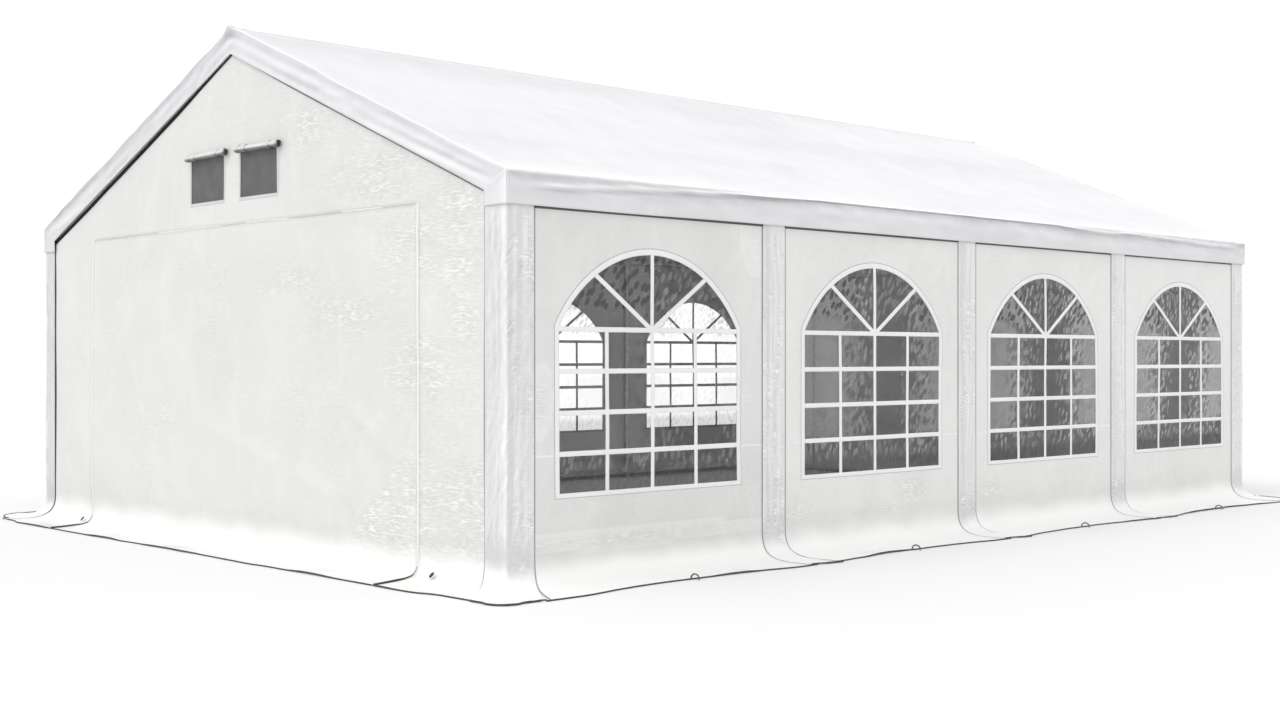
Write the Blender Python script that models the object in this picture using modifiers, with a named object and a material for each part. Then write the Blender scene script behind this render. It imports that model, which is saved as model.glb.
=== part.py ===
"""Marquee tent, 5 m by 8 m on its posts: a steel tube frame under a white woven sheet cover.

Metres, +Z up. The origin is on the ground at the centre of the plan, the ridge runs along Y and
the window walls face +X and -X. Every sheet has its outer face where the real one has it, and
stands about 0.5 mm off the tube or sheet that it touches.
"""

import math

import bmesh
import bpy
from mathutils import Matrix, Vector

# Plan: five portals, four bays
POST_LINES = (-4.027, -2.0, 0.0, 2.0, 4.027)
POST_X = 2.527
BAY_CENTRES = (-3.0, -1.0, 1.0, 3.0)

# Clearances between pieces that touch
TOUCH = 0.0005
FIT = 0.0003

# How far a cutter runs past the piece that it cuts
CUT_PAST = 0.05

# Steel tubes and their sleeves
TUBE_R = 0.021
SLEEVE_R = 0.026
SOCKET_R = 0.025
BORE_R = TUBE_R + FIT
TUBE_SIDES = 12
TUBE_TURN = math.radians(7.0)
SLEEVE_HALF = 0.06
SOCKET_BOTTOM = 1.97
SOCKET_TOP = 2.07
SOCKET_SINK = 0.004
FOOT_SIZE = 0.09
FOOT_THICK = 0.006
BASE_RAIL_Z = 0.05

# Roof sheet
RIDGE_Z = 3.217
ROOF_SLOPE = 0.427
ROOF_THICK = 0.004
ROOF_X = 2.575
ROOF_Y = 4.075
VALANCE_BOTTOM = 1.94
GABLE_EDGE_APEX_Z = 3.045
GABLE_EDGE_X = 2.40
GABLE_EDGE_Z = 2.02
MOUTH_FLOOR = 1.5

# Wall sheets: outer faces, thickness and the ends that the covers hide
WALL_THICK = 0.003
WALL_X = POST_X + SLEEVE_R + TOUCH + WALL_THICK
WALL_Y = POST_LINES[-1] + SLEEVE_R + TOUCH + WALL_THICK
WALL_TOP = 2.085
PANEL_GAP = 0.004
CORNER_GAP = 0.012
GABLE_TOP_GAP = 0.012

# Ground skirt at the foot of every wall
SKIRT_BEND_Z = 0.17
SKIRT_BEND_PULL_Z = 0.05
SKIRT_FLAT_PULL = 0.05
SKIRT_FLAT_START = 0.22
SKIRT_REACH = 0.325
SKIRT_STEPS = 6
SIDE_SKIRT_FLARE = 0.30
GABLE_SKIRT_FLARE = 0.60

# Arched window at the centre of each bay
WINDOW_HALF = 0.6925
WINDOW_SILL = 0.472
WINDOW_SPRING = 1.33
WINDOW_TOP = 1.726
WINDOW_STEPS = 14
FILM_LAP = 0.03

# Zipped door in each gable
DOOR_HALF = 1.8405
DOOR_TOP = 1.99
ZIP_HALF = 0.0003

# Two vents high in each gable, with their rolled flaps
VENT_CENTRES = (-0.2955, 0.2955)
VENT_HALF = 0.2005
VENT_BOTTOM = 2.152
VENT_TOP = 2.43
MESH_LAP = 0.02
ROLL_R = 0.022
ROLL_HALF = 0.235

# Covers over the posts
COVER_THICK = 0.003
COVER_HALF = 0.10
COVER_SPREAD = 0.07
SIDE_WING = 0.1825
SIDE_WING_LEAN = 0.65
GABLE_WING = 0.1655
GABLE_WING_LEAN = 0.82
COVER_TOP = 2.02
COVER_LIFT = 0.0105
COVER_FLAT_Z = 0.02
COVER_FULL_Z = 0.25

ROOF_ANGLE = math.atan(ROOF_SLOPE)
RIDGE_AXIS_Z = RIDGE_Z - (ROOF_THICK + TOUCH + SLEEVE_R) / math.cos(ROOF_ANGLE)
EAVE_AXIS_Z = RIDGE_AXIS_Z - ROOF_SLOPE * POST_X
MID_X = POST_X / 2.0
MID_AXIS_Z = RIDGE_AXIS_Z - ROOF_SLOPE * MID_X


def start_empty():
    """Remove what the file holds and make the two collections."""
    for item in list(bpy.data.objects):
        bpy.data.objects.remove(item, do_unlink=True)
    parts = bpy.data.collections.new("marquee_tent")
    cutters = bpy.data.collections.new("cutters")
    bpy.context.scene.collection.children.link(parts)
    bpy.context.scene.collection.children.link(cutters)
    return parts, cutters


PARTS, CUTTERS = start_empty()


def sheet_material(name, colour, roughness, metallic=0.0, alpha=1.0):
    """A Principled material with the finish of one kind of piece."""
    material = bpy.data.materials.new(name)
    material.use_nodes = True
    shader = material.node_tree.nodes["Principled BSDF"]
    shader.inputs["Base Color"].default_value = (*colour, 1.0)
    shader.inputs["Roughness"].default_value = roughness
    shader.inputs["Metallic"].default_value = metallic
    shader.inputs["Alpha"].default_value = alpha
    material.diffuse_color = (*colour, alpha)
    return material


ROOF_SHEET = sheet_material("roof_sheet", (0.93, 0.94, 0.96), 0.45)
WALL_SHEET = sheet_material("wall_sheet", (0.86, 0.86, 0.84), 0.5)
COVER_SHEET = sheet_material("cover_sheet", (0.84, 0.85, 0.86), 0.5)
WINDOW_FILM = sheet_material("window_film", (0.30, 0.31, 0.32), 0.15, alpha=0.6)
VENT_MESH = sheet_material("vent_mesh", (0.17, 0.17, 0.17), 0.7)
STEEL_TUBE = sheet_material("steel_tube", (0.62, 0.64, 0.66), 0.35, metallic=1.0)


def add_object(name, mesh, material=None):
    """Put a mesh in the model, or among the cutters when it has no material."""
    item = bpy.data.objects.new(name, mesh)
    if material is None:
        item.hide_render = True
        item.display_type = "WIRE"
        CUTTERS.objects.link(item)
    else:
        mesh.materials.append(material)
        PARTS.objects.link(item)
    return item


def mesh_from(work, name):
    """Finish a bmesh as a mesh datablock with its faces pointing out."""
    bmesh.ops.recalc_face_normals(work, faces=work.faces)
    mesh = bpy.data.meshes.new(name)
    work.to_mesh(mesh)
    work.free()
    return mesh


def add_rod(work, start, end, radius):
    """Add a capped cylinder between two points to a bmesh.

    All are turned a little about their axes, so that no two rods cross edge on edge.
    """
    start = Vector(start)
    end = Vector(end)
    run = end - start
    turn = run.to_track_quat("Z", "Y").to_matrix().to_4x4() @ Matrix.Rotation(TUBE_TURN, 4, "Z")
    place = Matrix.Translation((start + end) / 2.0) @ turn
    bmesh.ops.create_cone(
        work, cap_ends=True, segments=TUBE_SIDES, radius1=radius, radius2=radius,
        depth=run.length, matrix=place)


def rod(name, start, end, radius, material=None):
    """A straight tube as one object."""
    work = bmesh.new()
    add_rod(work, start, end, radius)
    return add_object(name, mesh_from(work, name), material)


def block(name, low, high, material=None):
    """A box between two corners as one object."""
    low = Vector(low)
    high = Vector(high)
    size = high - low
    place = Matrix.Translation((low + high) / 2.0) @ Matrix.Diagonal((*size, 1.0))
    work = bmesh.new()
    bmesh.ops.create_cube(work, size=1.0, matrix=place)
    return add_object(name, mesh_from(work, name), material)


def outline_prism(name, outline, start, end, along, material=None):
    """A flat outline, extruded along X or Y between two stations.

    The outline's first coordinate runs along Y for an extrusion along X, and along X for one
    along Y. The second coordinate is always the height.
    """
    curve = bpy.data.curves.new(name, "CURVE")
    curve.dimensions = "2D"
    curve.fill_mode = "BOTH"
    curve.extrude = abs(end - start) / 2.0
    spline = curve.splines.new("POLY")
    spline.points.add(len(outline) - 1)
    for point, (across, height) in zip(spline.points, outline):
        point.co = (across, height, 0.0, 1.0)
    spline.use_cyclic_u = True
    drawn = bpy.data.objects.new(name + "_outline", curve)
    PARTS.objects.link(drawn)
    graph = bpy.context.evaluated_depsgraph_get()
    flat = bpy.data.meshes.new_from_object(drawn.evaluated_get(graph))
    bpy.data.objects.remove(drawn, do_unlink=True)
    middle = (start + end) / 2.0
    if along == "X":
        place = Matrix(((0, 0, 1, middle), (1, 0, 0, 0), (0, 1, 0, 0), (0, 0, 0, 1)))
    else:
        place = Matrix(((1, 0, 0, 0), (0, 0, 1, middle), (0, 1, 0, 0), (0, 0, 0, 1)))
    work = bmesh.new()
    work.from_mesh(flat)
    bmesh.ops.remove_doubles(work, verts=work.verts, dist=0.00001)
    bmesh.ops.transform(work, matrix=place, verts=work.verts)
    bpy.data.meshes.remove(flat)
    return add_object(name, mesh_from(work, name), material)


def combine(target, other, operation):
    """Join, cut or keep the common part of two solids, with a live modifier."""
    change = target.modifiers.new(other.name, "BOOLEAN")
    change.operation = operation
    change.object = other
    change.solver = "EXACT"


def skirt_rows(top):
    """Outer face of a wall and its skirt, from the ground edge up to the given height.

    Each row is (distance out from the wall, height, normal out, normal up). The bend is a
    Bezier curve that leaves the wall straight down and reaches the ground flat.
    """
    rows = [(SKIRT_REACH, WALL_THICK, 0.0, 1.0)]
    knots = (
        Vector((SKIRT_FLAT_START, WALL_THICK)),
        Vector((SKIRT_FLAT_PULL, WALL_THICK)),
        Vector((0.0, SKIRT_BEND_PULL_Z)),
        Vector((0.0, SKIRT_BEND_Z)))
    for step in range(SKIRT_STEPS + 1):
        t = step / SKIRT_STEPS
        s = 1.0 - t
        spot = s ** 3 * knots[0] + 3 * s * s * t * knots[1] + 3 * s * t * t * knots[2] + t ** 3 * knots[3]
        run = s * s * (knots[1] - knots[0]) + t * t * (knots[3] - knots[2])
        run += 2 * s * t * (knots[2] - knots[1])
        run.normalize()
        rows.append((spot.x, spot.y, run.y, -run.x))
    rows.append((0.0, COVER_FULL_Z, 1.0, 0.0))
    rows.append((0.0, top, 1.0, 0.0))
    return rows


def grid_sheet(name, points, outward, thickness, grows_out, material):
    """A sheet from a grid of points, given its thickness by Solidify.

    points is a list of rows. The grid lies on the inner face when the sheet grows out, and on
    the outer face when it doesn't.
    """
    rows = len(points)
    columns = len(points[0])
    work = bmesh.new()
    made = bmesh.ops.create_grid(work, x_segments=columns - 1, y_segments=rows - 1, size=0.5)
    for vert in made["verts"]:
        column = round((vert.co.x + 0.5) * (columns - 1))
        row = round((vert.co.y + 0.5) * (rows - 1))
        vert.co = points[row][column]
    work.normal_update()
    facing = sum((face.normal * face.calc_area() for face in work.faces), Vector())
    if facing.dot(Vector(outward)) < 0.0:
        bmesh.ops.reverse_faces(work, faces=work.faces)
    mesh = bpy.data.meshes.new(name)
    work.to_mesh(mesh)
    work.free()
    item = add_object(name, mesh, material)
    shell = item.modifiers.new("thickness", "SOLIDIFY")
    shell.thickness = thickness
    shell.offset = 1.0 if grows_out else -1.0
    shell.use_even_offset = not grows_out
    return item


def wall_place(wall, side, run, out, height):
    """A point of a window wall ("side") or of a gable, by its run along the wall."""
    if wall == "side":
        return Vector((side * (WALL_X + out), run, height))
    return Vector((run, side * (WALL_Y + out), height))


def wall_outward(wall, side):
    """The direction that a wall faces."""
    return Vector((side, 0, 0)) if wall == "side" else Vector((0, side, 0))


def wall_sheet(name, wall, side, low, high, top, flares=(0.0, 0.0)):
    """A flat wall sheet with its skirt, between two stations along the wall.

    flares widens the skirt at its two ends, by so much for each metre out from the wall.
    """
    points = []
    for out, height, _, _ in skirt_rows(top):
        ends = (low - flares[0] * out, high + flares[1] * out)
        points.append([wall_place(wall, side, run, out, height) for run in ends])
    return grid_sheet(name, points, wall_outward(wall, side), WALL_THICK, False, WALL_SHEET)


def window_outline(middle, grow):
    """The window's outline about the bay's middle: straight sides under one circular arc."""
    half = WINDOW_HALF + grow
    rise = WINDOW_TOP - WINDOW_SPRING
    radius = (WINDOW_HALF ** 2 + rise ** 2) / (2.0 * rise)
    arc_z = WINDOW_TOP - radius
    radius += grow
    spread = math.asin(half / radius)
    outline = [(middle + half, WINDOW_SILL - grow)]
    for step in range(WINDOW_STEPS + 1):
        angle = spread * (1.0 - 2.0 * step / WINDOW_STEPS)
        outline.append((middle + radius * math.sin(angle), arc_z + radius * math.cos(angle)))
    outline.append((middle - half, WINDOW_SILL - grow))
    return outline


def build_window_bay(side, word, number, centre):
    """One bay of a window wall: the sheet with its arched hole, and the clear film behind it."""
    low = POST_LINES[number] + PANEL_GAP
    high = POST_LINES[number + 1] - PANEL_GAP
    flares = [0.0, 0.0]
    if number == 0:
        low = CORNER_GAP - WALL_Y
        flares[0] = SIDE_SKIRT_FLARE
    if number == len(BAY_CENTRES) - 1:
        high = WALL_Y - CORNER_GAP
        flares[1] = SIDE_SKIRT_FLARE
    panel = wall_sheet(f"side_panel_{word}_{number + 1}", "side", side, low, high, WALL_TOP, flares)
    hole = outline_prism(
        f"window_hole_{word}_{number + 1}", window_outline(centre, 0.0),
        side * (WALL_X - CUT_PAST), side * (WALL_X + CUT_PAST), "X")
    combine(panel, hole, "DIFFERENCE")
    back = WALL_X - WALL_THICK - FIT
    outline_prism(
        f"window_film_{word}_{number + 1}", window_outline(centre, FILM_LAP),
        side * (back - WALL_THICK), side * back, "X", WINDOW_FILM)


def house_outline(edge, inset):
    """The gable's outline under the roof sheet, from the ground up to the ridge."""
    ridge = RIDGE_Z - inset / math.cos(ROOF_ANGLE)
    eave = ridge - ROOF_SLOPE * edge
    floor = -CUT_PAST
    return [(edge, floor), (edge, eave), (0.0, ridge), (-edge, eave), (-edge, floor)]


def build_gable(side, word):
    """One gable: the wall sheet, its zipped door, its two vents and their rolled flaps."""
    edge = WALL_X - CORNER_GAP
    flares = (GABLE_SKIRT_FLARE, GABLE_SKIRT_FLARE)
    wall = wall_sheet(f"gable_wall_{word}", "gable", side, -edge, edge, RIDGE_Z, flares)
    near = WALL_Y - CUT_PAST
    far = WALL_Y + SKIRT_REACH + CUT_PAST
    widest = edge + GABLE_SKIRT_FLARE * SKIRT_REACH + CUT_PAST
    house = outline_prism(
        f"house_{word}", house_outline(widest, ROOF_THICK + GABLE_TOP_GAP), side * near, side * far, "Y")
    combine(wall, house, "INTERSECT")
    stations = sorted((side * near, side * far))
    hole = block(
        f"door_hole_{word}", (-DOOR_HALF - ZIP_HALF, stations[0], -CUT_PAST),
        (DOOR_HALF + ZIP_HALF, stations[1], DOOR_TOP + ZIP_HALF))
    combine(wall, hole, "DIFFERENCE")
    wall_sheet(
        f"gable_door_{word}", "gable", side, -DOOR_HALF + ZIP_HALF, DOOR_HALF - ZIP_HALF,
        DOOR_TOP - ZIP_HALF)
    back = WALL_Y - WALL_THICK - FIT
    roll_y = WALL_Y + FIT + ROLL_R
    for number, centre in enumerate(VENT_CENTRES):
        x = -side * centre
        tag = f"{word}_{number + 1}"
        vent = block(
            f"vent_hole_{tag}", (x - VENT_HALF, side * WALL_Y - CUT_PAST, VENT_BOTTOM),
            (x + VENT_HALF, side * WALL_Y + CUT_PAST, VENT_TOP))
        combine(wall, vent, "DIFFERENCE")
        rod(
            f"vent_flap_{tag}", (x - ROLL_HALF, side * roll_y, VENT_TOP + ROLL_R),
            (x + ROLL_HALF, side * roll_y, VENT_TOP + ROLL_R), ROLL_R, WALL_SHEET)
    ends = sorted((side * back, side * (back - WALL_THICK)))
    spread = sorted(-side * centre for centre in VENT_CENTRES)
    block(
        f"vent_mesh_{word}", (spread[0] - VENT_HALF - MESH_LAP, ends[0], VENT_BOTTOM - MESH_LAP),
        (spread[1] + VENT_HALF + MESH_LAP, ends[1], VENT_TOP + MESH_LAP), VENT_MESH)


def smooth(low, high, value):
    """Ease from 0 at low to 1 at high."""
    t = min(1.0, max(0.0, (value - low) / (high - low)))
    return t * t * (3.0 - 2.0 * t)


def lifted(rows, share):
    """Rows raised off the sheet below by the cover's fullness times a share of it."""
    raised = []
    for out, height, normal_out, normal_up in rows:
        lift = TOUCH + COVER_LIFT * share * smooth(COVER_FLAT_Z, COVER_FULL_Z, height)
        raised.append((out + normal_out * lift, height + normal_up * lift))
    return raised


# Stations across a cover: the place across it, and the share of the fullness that it has there
MID_COVER_STATIONS = ((-1.0, 0.0), (-0.92, 0.75), (-0.82, 1.0), (0.82, 1.0), (0.92, 0.75), (1.0, 0.0))
CORNER_COVER_STATIONS = ((1.0, 0.0), (0.95, 0.75), (0.88, 1.0), (0.30, 1.0))


def build_mid_cover(side, word, number):
    """The cover over a post between two bays, which runs out over the skirt at its foot."""
    rows = skirt_rows(COVER_TOP)
    columns = [(place, lifted(rows, share)) for place, share in MID_COVER_STATIONS]
    points = []
    for row in range(len(rows)):
        half = COVER_HALF + COVER_SPREAD * rows[row][0]
        line = []
        for place, raised in columns:
            line.append(wall_place("side", side, POST_LINES[number] + place * half, *raised[row]))
        points.append(line)
    grid_sheet(
        f"post_cover_{word}_{number + 1}", points, (side, 0, 0), COVER_THICK, True, COVER_SHEET)


def build_corner_cover(side, end, word):
    """The cover that wraps a corner post, with one wing on the window wall and one on the gable.

    At the foot both wings lean toward the corner, by so much for each metre out from the wall.
    """
    rows = skirt_rows(COVER_TOP)
    columns = [(place, lifted(rows, share)) for place, share in CORNER_COVER_STATIONS]
    corner = lifted(rows, 1.0)
    points = []
    for row in range(len(rows)):
        reach = rows[row][0]
        side_span = SIDE_WING + reach * (1.0 - SIDE_WING_LEAN)
        gable_span = GABLE_WING + reach * (1.0 - GABLE_WING_LEAN)
        line = []
        for place, raised in columns:
            out, height = raised[row]
            line.append((WALL_X + out, WALL_Y + reach - place * side_span, height))
        out, height = corner[row]
        line.append((WALL_X + out, WALL_Y + out, height))
        for place, raised in reversed(columns):
            out, height = raised[row]
            line.append((WALL_X + reach - place * gable_span, WALL_Y + out, height))
        points.append([Vector((side * x, end * y, z)) for x, y, z in line])
    grid_sheet(f"corner_cover_{word}", points, (side, end, 0), COVER_THICK, True, COVER_SHEET)


def build_roof():
    """The roof sheet in one piece, with its valance on all four sides."""
    eave = RIDGE_Z - ROOF_SLOPE * ROOF_X
    outer = [
        (ROOF_X, VALANCE_BOTTOM), (ROOF_X, eave), (0.0, RIDGE_Z), (-ROOF_X, eave), (-ROOF_X, VALANCE_BOTTOM)]
    roof = outline_prism("roof_canopy", outer, -ROOF_Y, ROOF_Y, "Y", ROOF_SHEET)
    inner_x = ROOF_X - ROOF_THICK
    inner_ridge = RIDGE_Z - ROOF_THICK / math.cos(ROOF_ANGLE)
    inner_eave = inner_ridge - ROOF_SLOPE * inner_x
    inner = [
        (inner_x, MOUTH_FLOOR), (inner_x, inner_eave), (0.0, inner_ridge), (-inner_x, inner_eave),
        (-inner_x, MOUTH_FLOOR)]
    room = outline_prism("roof_inside", inner, ROOF_THICK - ROOF_Y, ROOF_Y - ROOF_THICK, "Y")
    combine(roof, room, "DIFFERENCE")
    mouth = [
        (GABLE_EDGE_X, MOUTH_FLOOR), (GABLE_EDGE_X, GABLE_EDGE_Z), (0.0, GABLE_EDGE_APEX_Z),
        (-GABLE_EDGE_X, GABLE_EDGE_Z), (-GABLE_EDGE_X, MOUTH_FLOOR)]
    opening = outline_prism("gable_mouth", mouth, -ROOF_Y - CUT_PAST, ROOF_Y + CUT_PAST, "Y")
    combine(roof, opening, "DIFFERENCE")


def sleeve_span(line):
    """The two ends of a sleeve on a rail at a portal; end portals reach inwards only."""
    if line < POST_LINES[0] + TOUCH:
        return line - SLEEVE_R, line + 2.0 * SLEEVE_HALF - SLEEVE_R
    if line > POST_LINES[-1] - TOUCH:
        return line - 2.0 * SLEEVE_HALF + SLEEVE_R, line + SLEEVE_R
    return line - SLEEVE_HALF, line + SLEEVE_HALF


RAIL_PLACES = (
    ("ridge_rail", 0.0, RIDGE_AXIS_Z),
    ("purlin_right", MID_X, MID_AXIS_Z),
    ("purlin_left", -MID_X, MID_AXIS_Z),
    ("eave_rail_right", POST_X, EAVE_AXIS_Z),
    ("eave_rail_left", -POST_X, EAVE_AXIS_Z))


def joined_rods(name, rods, material):
    """Several rods made one solid with Boolean unions."""
    first, *others = rods
    target = rod(name, *first, material)
    for index, piece in enumerate(others):
        combine(target, rod(f"{name}_rod_{index}", *piece), "UNION")
    return target


def build_portal(number, line):
    """One roof arch with its sleeves and eave sockets, and the two legs that it stands on."""
    span = sleeve_span(line)
    top = (0.0, line, RIDGE_AXIS_Z)
    rods = [((side * POST_X, line, EAVE_AXIS_Z), top, TUBE_R) for side in (1, -1)]
    for _, x, z in RAIL_PLACES:
        rods.append(((x, span[0], z), (x, span[1], z), SLEEVE_R))
    for side in (1, -1):
        x = side * POST_X
        rods.append(((x, line, SOCKET_BOTTOM), (x, line, EAVE_AXIS_Z - SOCKET_SINK), SOCKET_R))
    arch = joined_rods(f"roof_arch_{number + 1}", rods, STEEL_TUBE)
    for name, x, z in RAIL_PLACES:
        start = (x, span[0] - CUT_PAST, z)
        end = (x, span[1] + CUT_PAST, z)
        bore = rod(f"arch_bore_{name}_{number}", start, end, BORE_R)
        combine(arch, bore, "DIFFERENCE")
    for side, word in ((1, "right"), (-1, "left")):
        x = side * POST_X
        socket = rod(
            f"socket_{word}_{number}", (x, line, SOCKET_BOTTOM - CUT_PAST), (x, line, SOCKET_TOP), BORE_R)
        combine(arch, socket, "DIFFERENCE")
        build_leg(f"leg_{word}_{number + 1}", x, line, span)


def build_leg(name, x, line, span):
    """A leg with its foot plate and the cross sleeve that the base rail runs through."""
    leg = rod(name, (x, line, FOOT_THICK / 2.0), (x, line, SOCKET_TOP - FIT), TUBE_R, STEEL_TUBE)
    half = FOOT_SIZE / 2.0
    foot = block(f"{name}_foot", (x - half, line - half, 0.0), (x + half, line + half, FOOT_THICK))
    combine(leg, foot, "UNION")
    sleeve = rod(f"{name}_sleeve", (x, span[0], BASE_RAIL_Z), (x, span[1], BASE_RAIL_Z), SLEEVE_R)
    combine(leg, sleeve, "UNION")
    start = (x, span[0] - CUT_PAST, BASE_RAIL_Z)
    end = (x, span[1] + CUT_PAST, BASE_RAIL_Z)
    bore = rod(f"{name}_bore", start, end, BORE_R)
    combine(leg, bore, "DIFFERENCE")


def build_rails():
    """The rails that run the length of the tent through the portals' sleeves."""
    ends = POST_LINES[-1] + SLEEVE_R - FIT
    places = RAIL_PLACES + (
        ("base_rail_right", POST_X, BASE_RAIL_Z), ("base_rail_left", -POST_X, BASE_RAIL_Z))
    for name, x, z in places:
        rod(name, (x, -ends, z), (x, ends, z), TUBE_R, STEEL_TUBE)


def build():
    """Build the whole tent."""
    for number, line in enumerate(POST_LINES):
        build_portal(number, line)
    build_rails()
    for side, word in ((1, "right"), (-1, "left")):
        for number, centre in enumerate(BAY_CENTRES):
            build_window_bay(side, word, number, centre)
        for number in (1, 2, 3):
            build_mid_cover(side, word, number)
        build_corner_cover(side, -1, f"front_{word}")
        build_corner_cover(side, 1, f"back_{word}")
    build_gable(-1, "front")
    build_gable(1, "back")
    build_roof()


build()
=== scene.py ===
"""Looks of a gabled marquee tent, 5 m by 8 m on its posts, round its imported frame.

Metres, +Z up, the origin on the ground at the centre of the plan. The ridge runs along Y, the
window walls face +X and -X, and the gable seen in the picture faces -Y. A point of a wall is
given by its run along the wall, its distance out from the wall's outer face and its height.
"""

import math

import bpy
import numpy as np
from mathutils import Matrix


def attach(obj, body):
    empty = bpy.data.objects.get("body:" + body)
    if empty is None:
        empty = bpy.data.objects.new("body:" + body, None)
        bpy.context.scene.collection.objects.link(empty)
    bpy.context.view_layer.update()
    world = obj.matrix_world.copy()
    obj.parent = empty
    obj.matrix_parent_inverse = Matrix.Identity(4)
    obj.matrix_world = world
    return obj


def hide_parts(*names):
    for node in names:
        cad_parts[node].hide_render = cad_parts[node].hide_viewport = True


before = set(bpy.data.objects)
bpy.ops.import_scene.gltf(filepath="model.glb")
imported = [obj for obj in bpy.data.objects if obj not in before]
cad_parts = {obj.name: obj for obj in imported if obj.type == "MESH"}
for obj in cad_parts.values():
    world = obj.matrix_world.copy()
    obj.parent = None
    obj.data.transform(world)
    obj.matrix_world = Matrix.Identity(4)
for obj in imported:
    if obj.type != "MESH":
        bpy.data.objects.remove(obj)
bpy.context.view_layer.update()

# Plan
POSTS = (-4.027, -2.0, 0.0, 2.0, 4.027)
BAYS = (-3.0, -1.0, 1.0, 3.0)
WALL_X = 2.5565
WALL_Y = 4.0565
WALL_TOP = 2.085
SHEET = 0.0012
CORNER_GAP = 0.012
JOINT_GAP = 0.004
SIDES = ((1, "right"), (-1, "left"))
ENDS = ((-1, "front"), (1, "back"))

# Ground skirt
BEND_Z = 0.17
SKIRT_REACH = 0.325
SIDE_FLARE = 0.30
GABLE_FLARE = (0.60, 0.22)
# Dark cords painted as shadow under the skirts' edges
SHADOW_CORD_RADIUS = 0.004
SHADOW_CORD_Z = 0.0045
GROUND_GAP = 0.003

# Window
GLASS_HALF = 0.6925
SILL_Z = 0.472
SPRING_Z = 1.33
ARCH_Z = 1.726
ARCH_RISE = ARCH_Z - SPRING_Z
ARC_RADIUS = (GLASS_HALF ** 2 + ARCH_RISE ** 2) / (2.0 * ARCH_RISE)
ARC_Z = ARCH_Z - ARC_RADIUS
BORDER = 0.033
BAR = 0.027
BAR_X = 0.347
BAR_Z = (0.674, 0.885, 1.101)
FAN_END = (0.437, 1.612)
FILM_LAP = 0.018
FILM_BACK = 0.0026
SEAM_Z = 0.668
SEAM_WIDE = 0.014
SEAM_END = 0.93
# Where the dark middle of each window's painted reflection sits, across each bay
DARK_MIDDLE = (0.36, 0.14, 0.03, -0.02)

# Gable
GABLE_DROP = 0.0174
DOOR_HALF = 1.8405
DOOR_TOP = 1.99
ZIP_WIDE = 0.017
DOOR_SEAM_WIDE = 0.007
VENT_X = 0.2955
VENT_HALF = 0.2005
VENT_LOW = 2.152
VENT_HIGH = 2.43
VENT_LAP = 0.015
VENT_BACK = 0.002
FLAP_HALF = 0.235
FLAP_TURNS = 2.3
FLAP_INNER = 0.0105
FLAP_GROWTH = 0.0095
FLAP_UP = 0.013
FLAP_OUT = 0.0240
FLAP_SHIFT = 0.022
CUFFS = (-0.90, -0.57, 0.56, 0.88)
EYELETS = (-1.90, 2.02)

# Covers over the posts
COVER_HALF = 0.10
COVER_TOP = 2.02
SIDE_WING = 0.1825
SIDE_LEAN = 0.65
GABLE_WING = 0.1655
GABLE_LEAN = (0.82, 0.54)
NARROWER = 0.035
DRAWN_IN = 0.068
COVER_GAP = 0.0022
COVER_RISE = 0.0085
CORNER_EDGE = WALL_Y - SIDE_WING + SIDE_LEAN * SKIRT_REACH
# Dark ribbons painted as shadow beside the covers and under the valance
SHADOW_STRIP_RISE = 0.0012
VALANCE_SHADOW_Y = 3.876
VALANCE_SHADOW_Z = (1.9305, 1.95)

# Roof sheet
RIDGE_Z = 3.217
SLOPE = 0.427
ROOF_X = 2.575
ROOF_Y = 4.075
EAVE_Z = RIDGE_Z - SLOPE * ROOF_X
EAVE_RADIUS = 0.030
RIDGE_HALF = 0.05
END_RADIUS = 0.008
VALANCE_Z = 1.94
MOUTH_X = 2.40
MOUTH_EAVE_Z = 2.02
MOUTH_APEX_Z = 3.045
MOUTH_DROP = MOUTH_APEX_Z - MOUTH_EAVE_Z
PURLIN = 1.40

# Pegs
PEG_RADIUS = 0.0045
PEG_BEND = 0.028
PEG_INSET = 0.048

# Picture
PICTURE_WIDTH = 1280.0
FOCAL_PIXELS = 1623.0
SHIFT_PIXELS = 140.0


# Numbers

def ease(t):
    """3 t^2 - 2 t^3."""
    return t * t * (3.0 - 2.0 * t)


def ramp(low, high, value):
    """Eased step from 0 at low to 1 at high."""
    return ease(np.clip((value - low) / (high - low), 0.0, 1.0))


def swell(u, v, cell_u, cell_v, seed):
    """Smooth random heights from -1 to 1: one random value at each corner of a grid of cells,
    eased between the corners along u and v."""
    table = np.random.default_rng(seed).uniform(-1.0, 1.0, (64, 64))
    a = np.asarray(u) / cell_u + 500.0
    b = np.asarray(v) / cell_v + 500.0
    i = np.floor(a).astype(int)
    j = np.floor(b).astype(int)
    fa = ease(a - i)
    fb = ease(b - j)
    near = table[i % 64, j % 64] * (1.0 - fa) + table[(i + 1) % 64, j % 64] * fa
    far = table[i % 64, (j + 1) % 64] * (1.0 - fa) + table[(i + 1) % 64, (j + 1) % 64] * fa
    return near * (1.0 - fb) + far * fb


def fold(u, v, start, end, width):
    """A soft ridge along the line from start to end: exp(-(distance / width)^2), fading at the ends."""
    start = np.array(start)
    run = np.array(end) - start
    length = np.hypot(*run)
    run = run / length
    along = (u - start[0]) * run[0] + (v - start[1]) * run[1]
    across = (v - start[1]) * run[0] - (u - start[0]) * run[1]
    inside = ramp(-0.15, 0.25, along / length) * (1.0 - ramp(0.75, 1.15, along / length))
    return np.exp(-(across / width) ** 2) * inside


def patches(u, v, rows):
    """The strongest of some soft oval patches, each given by its place, its sizes and its share."""
    total = np.zeros(np.broadcast(u, v).shape)
    for at_u, at_v, wide, high, share in rows:
        total = np.maximum(total, share * np.exp(-((u - at_u) / wide) ** 2 - ((v - at_v) / high) ** 2))
    return total


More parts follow.
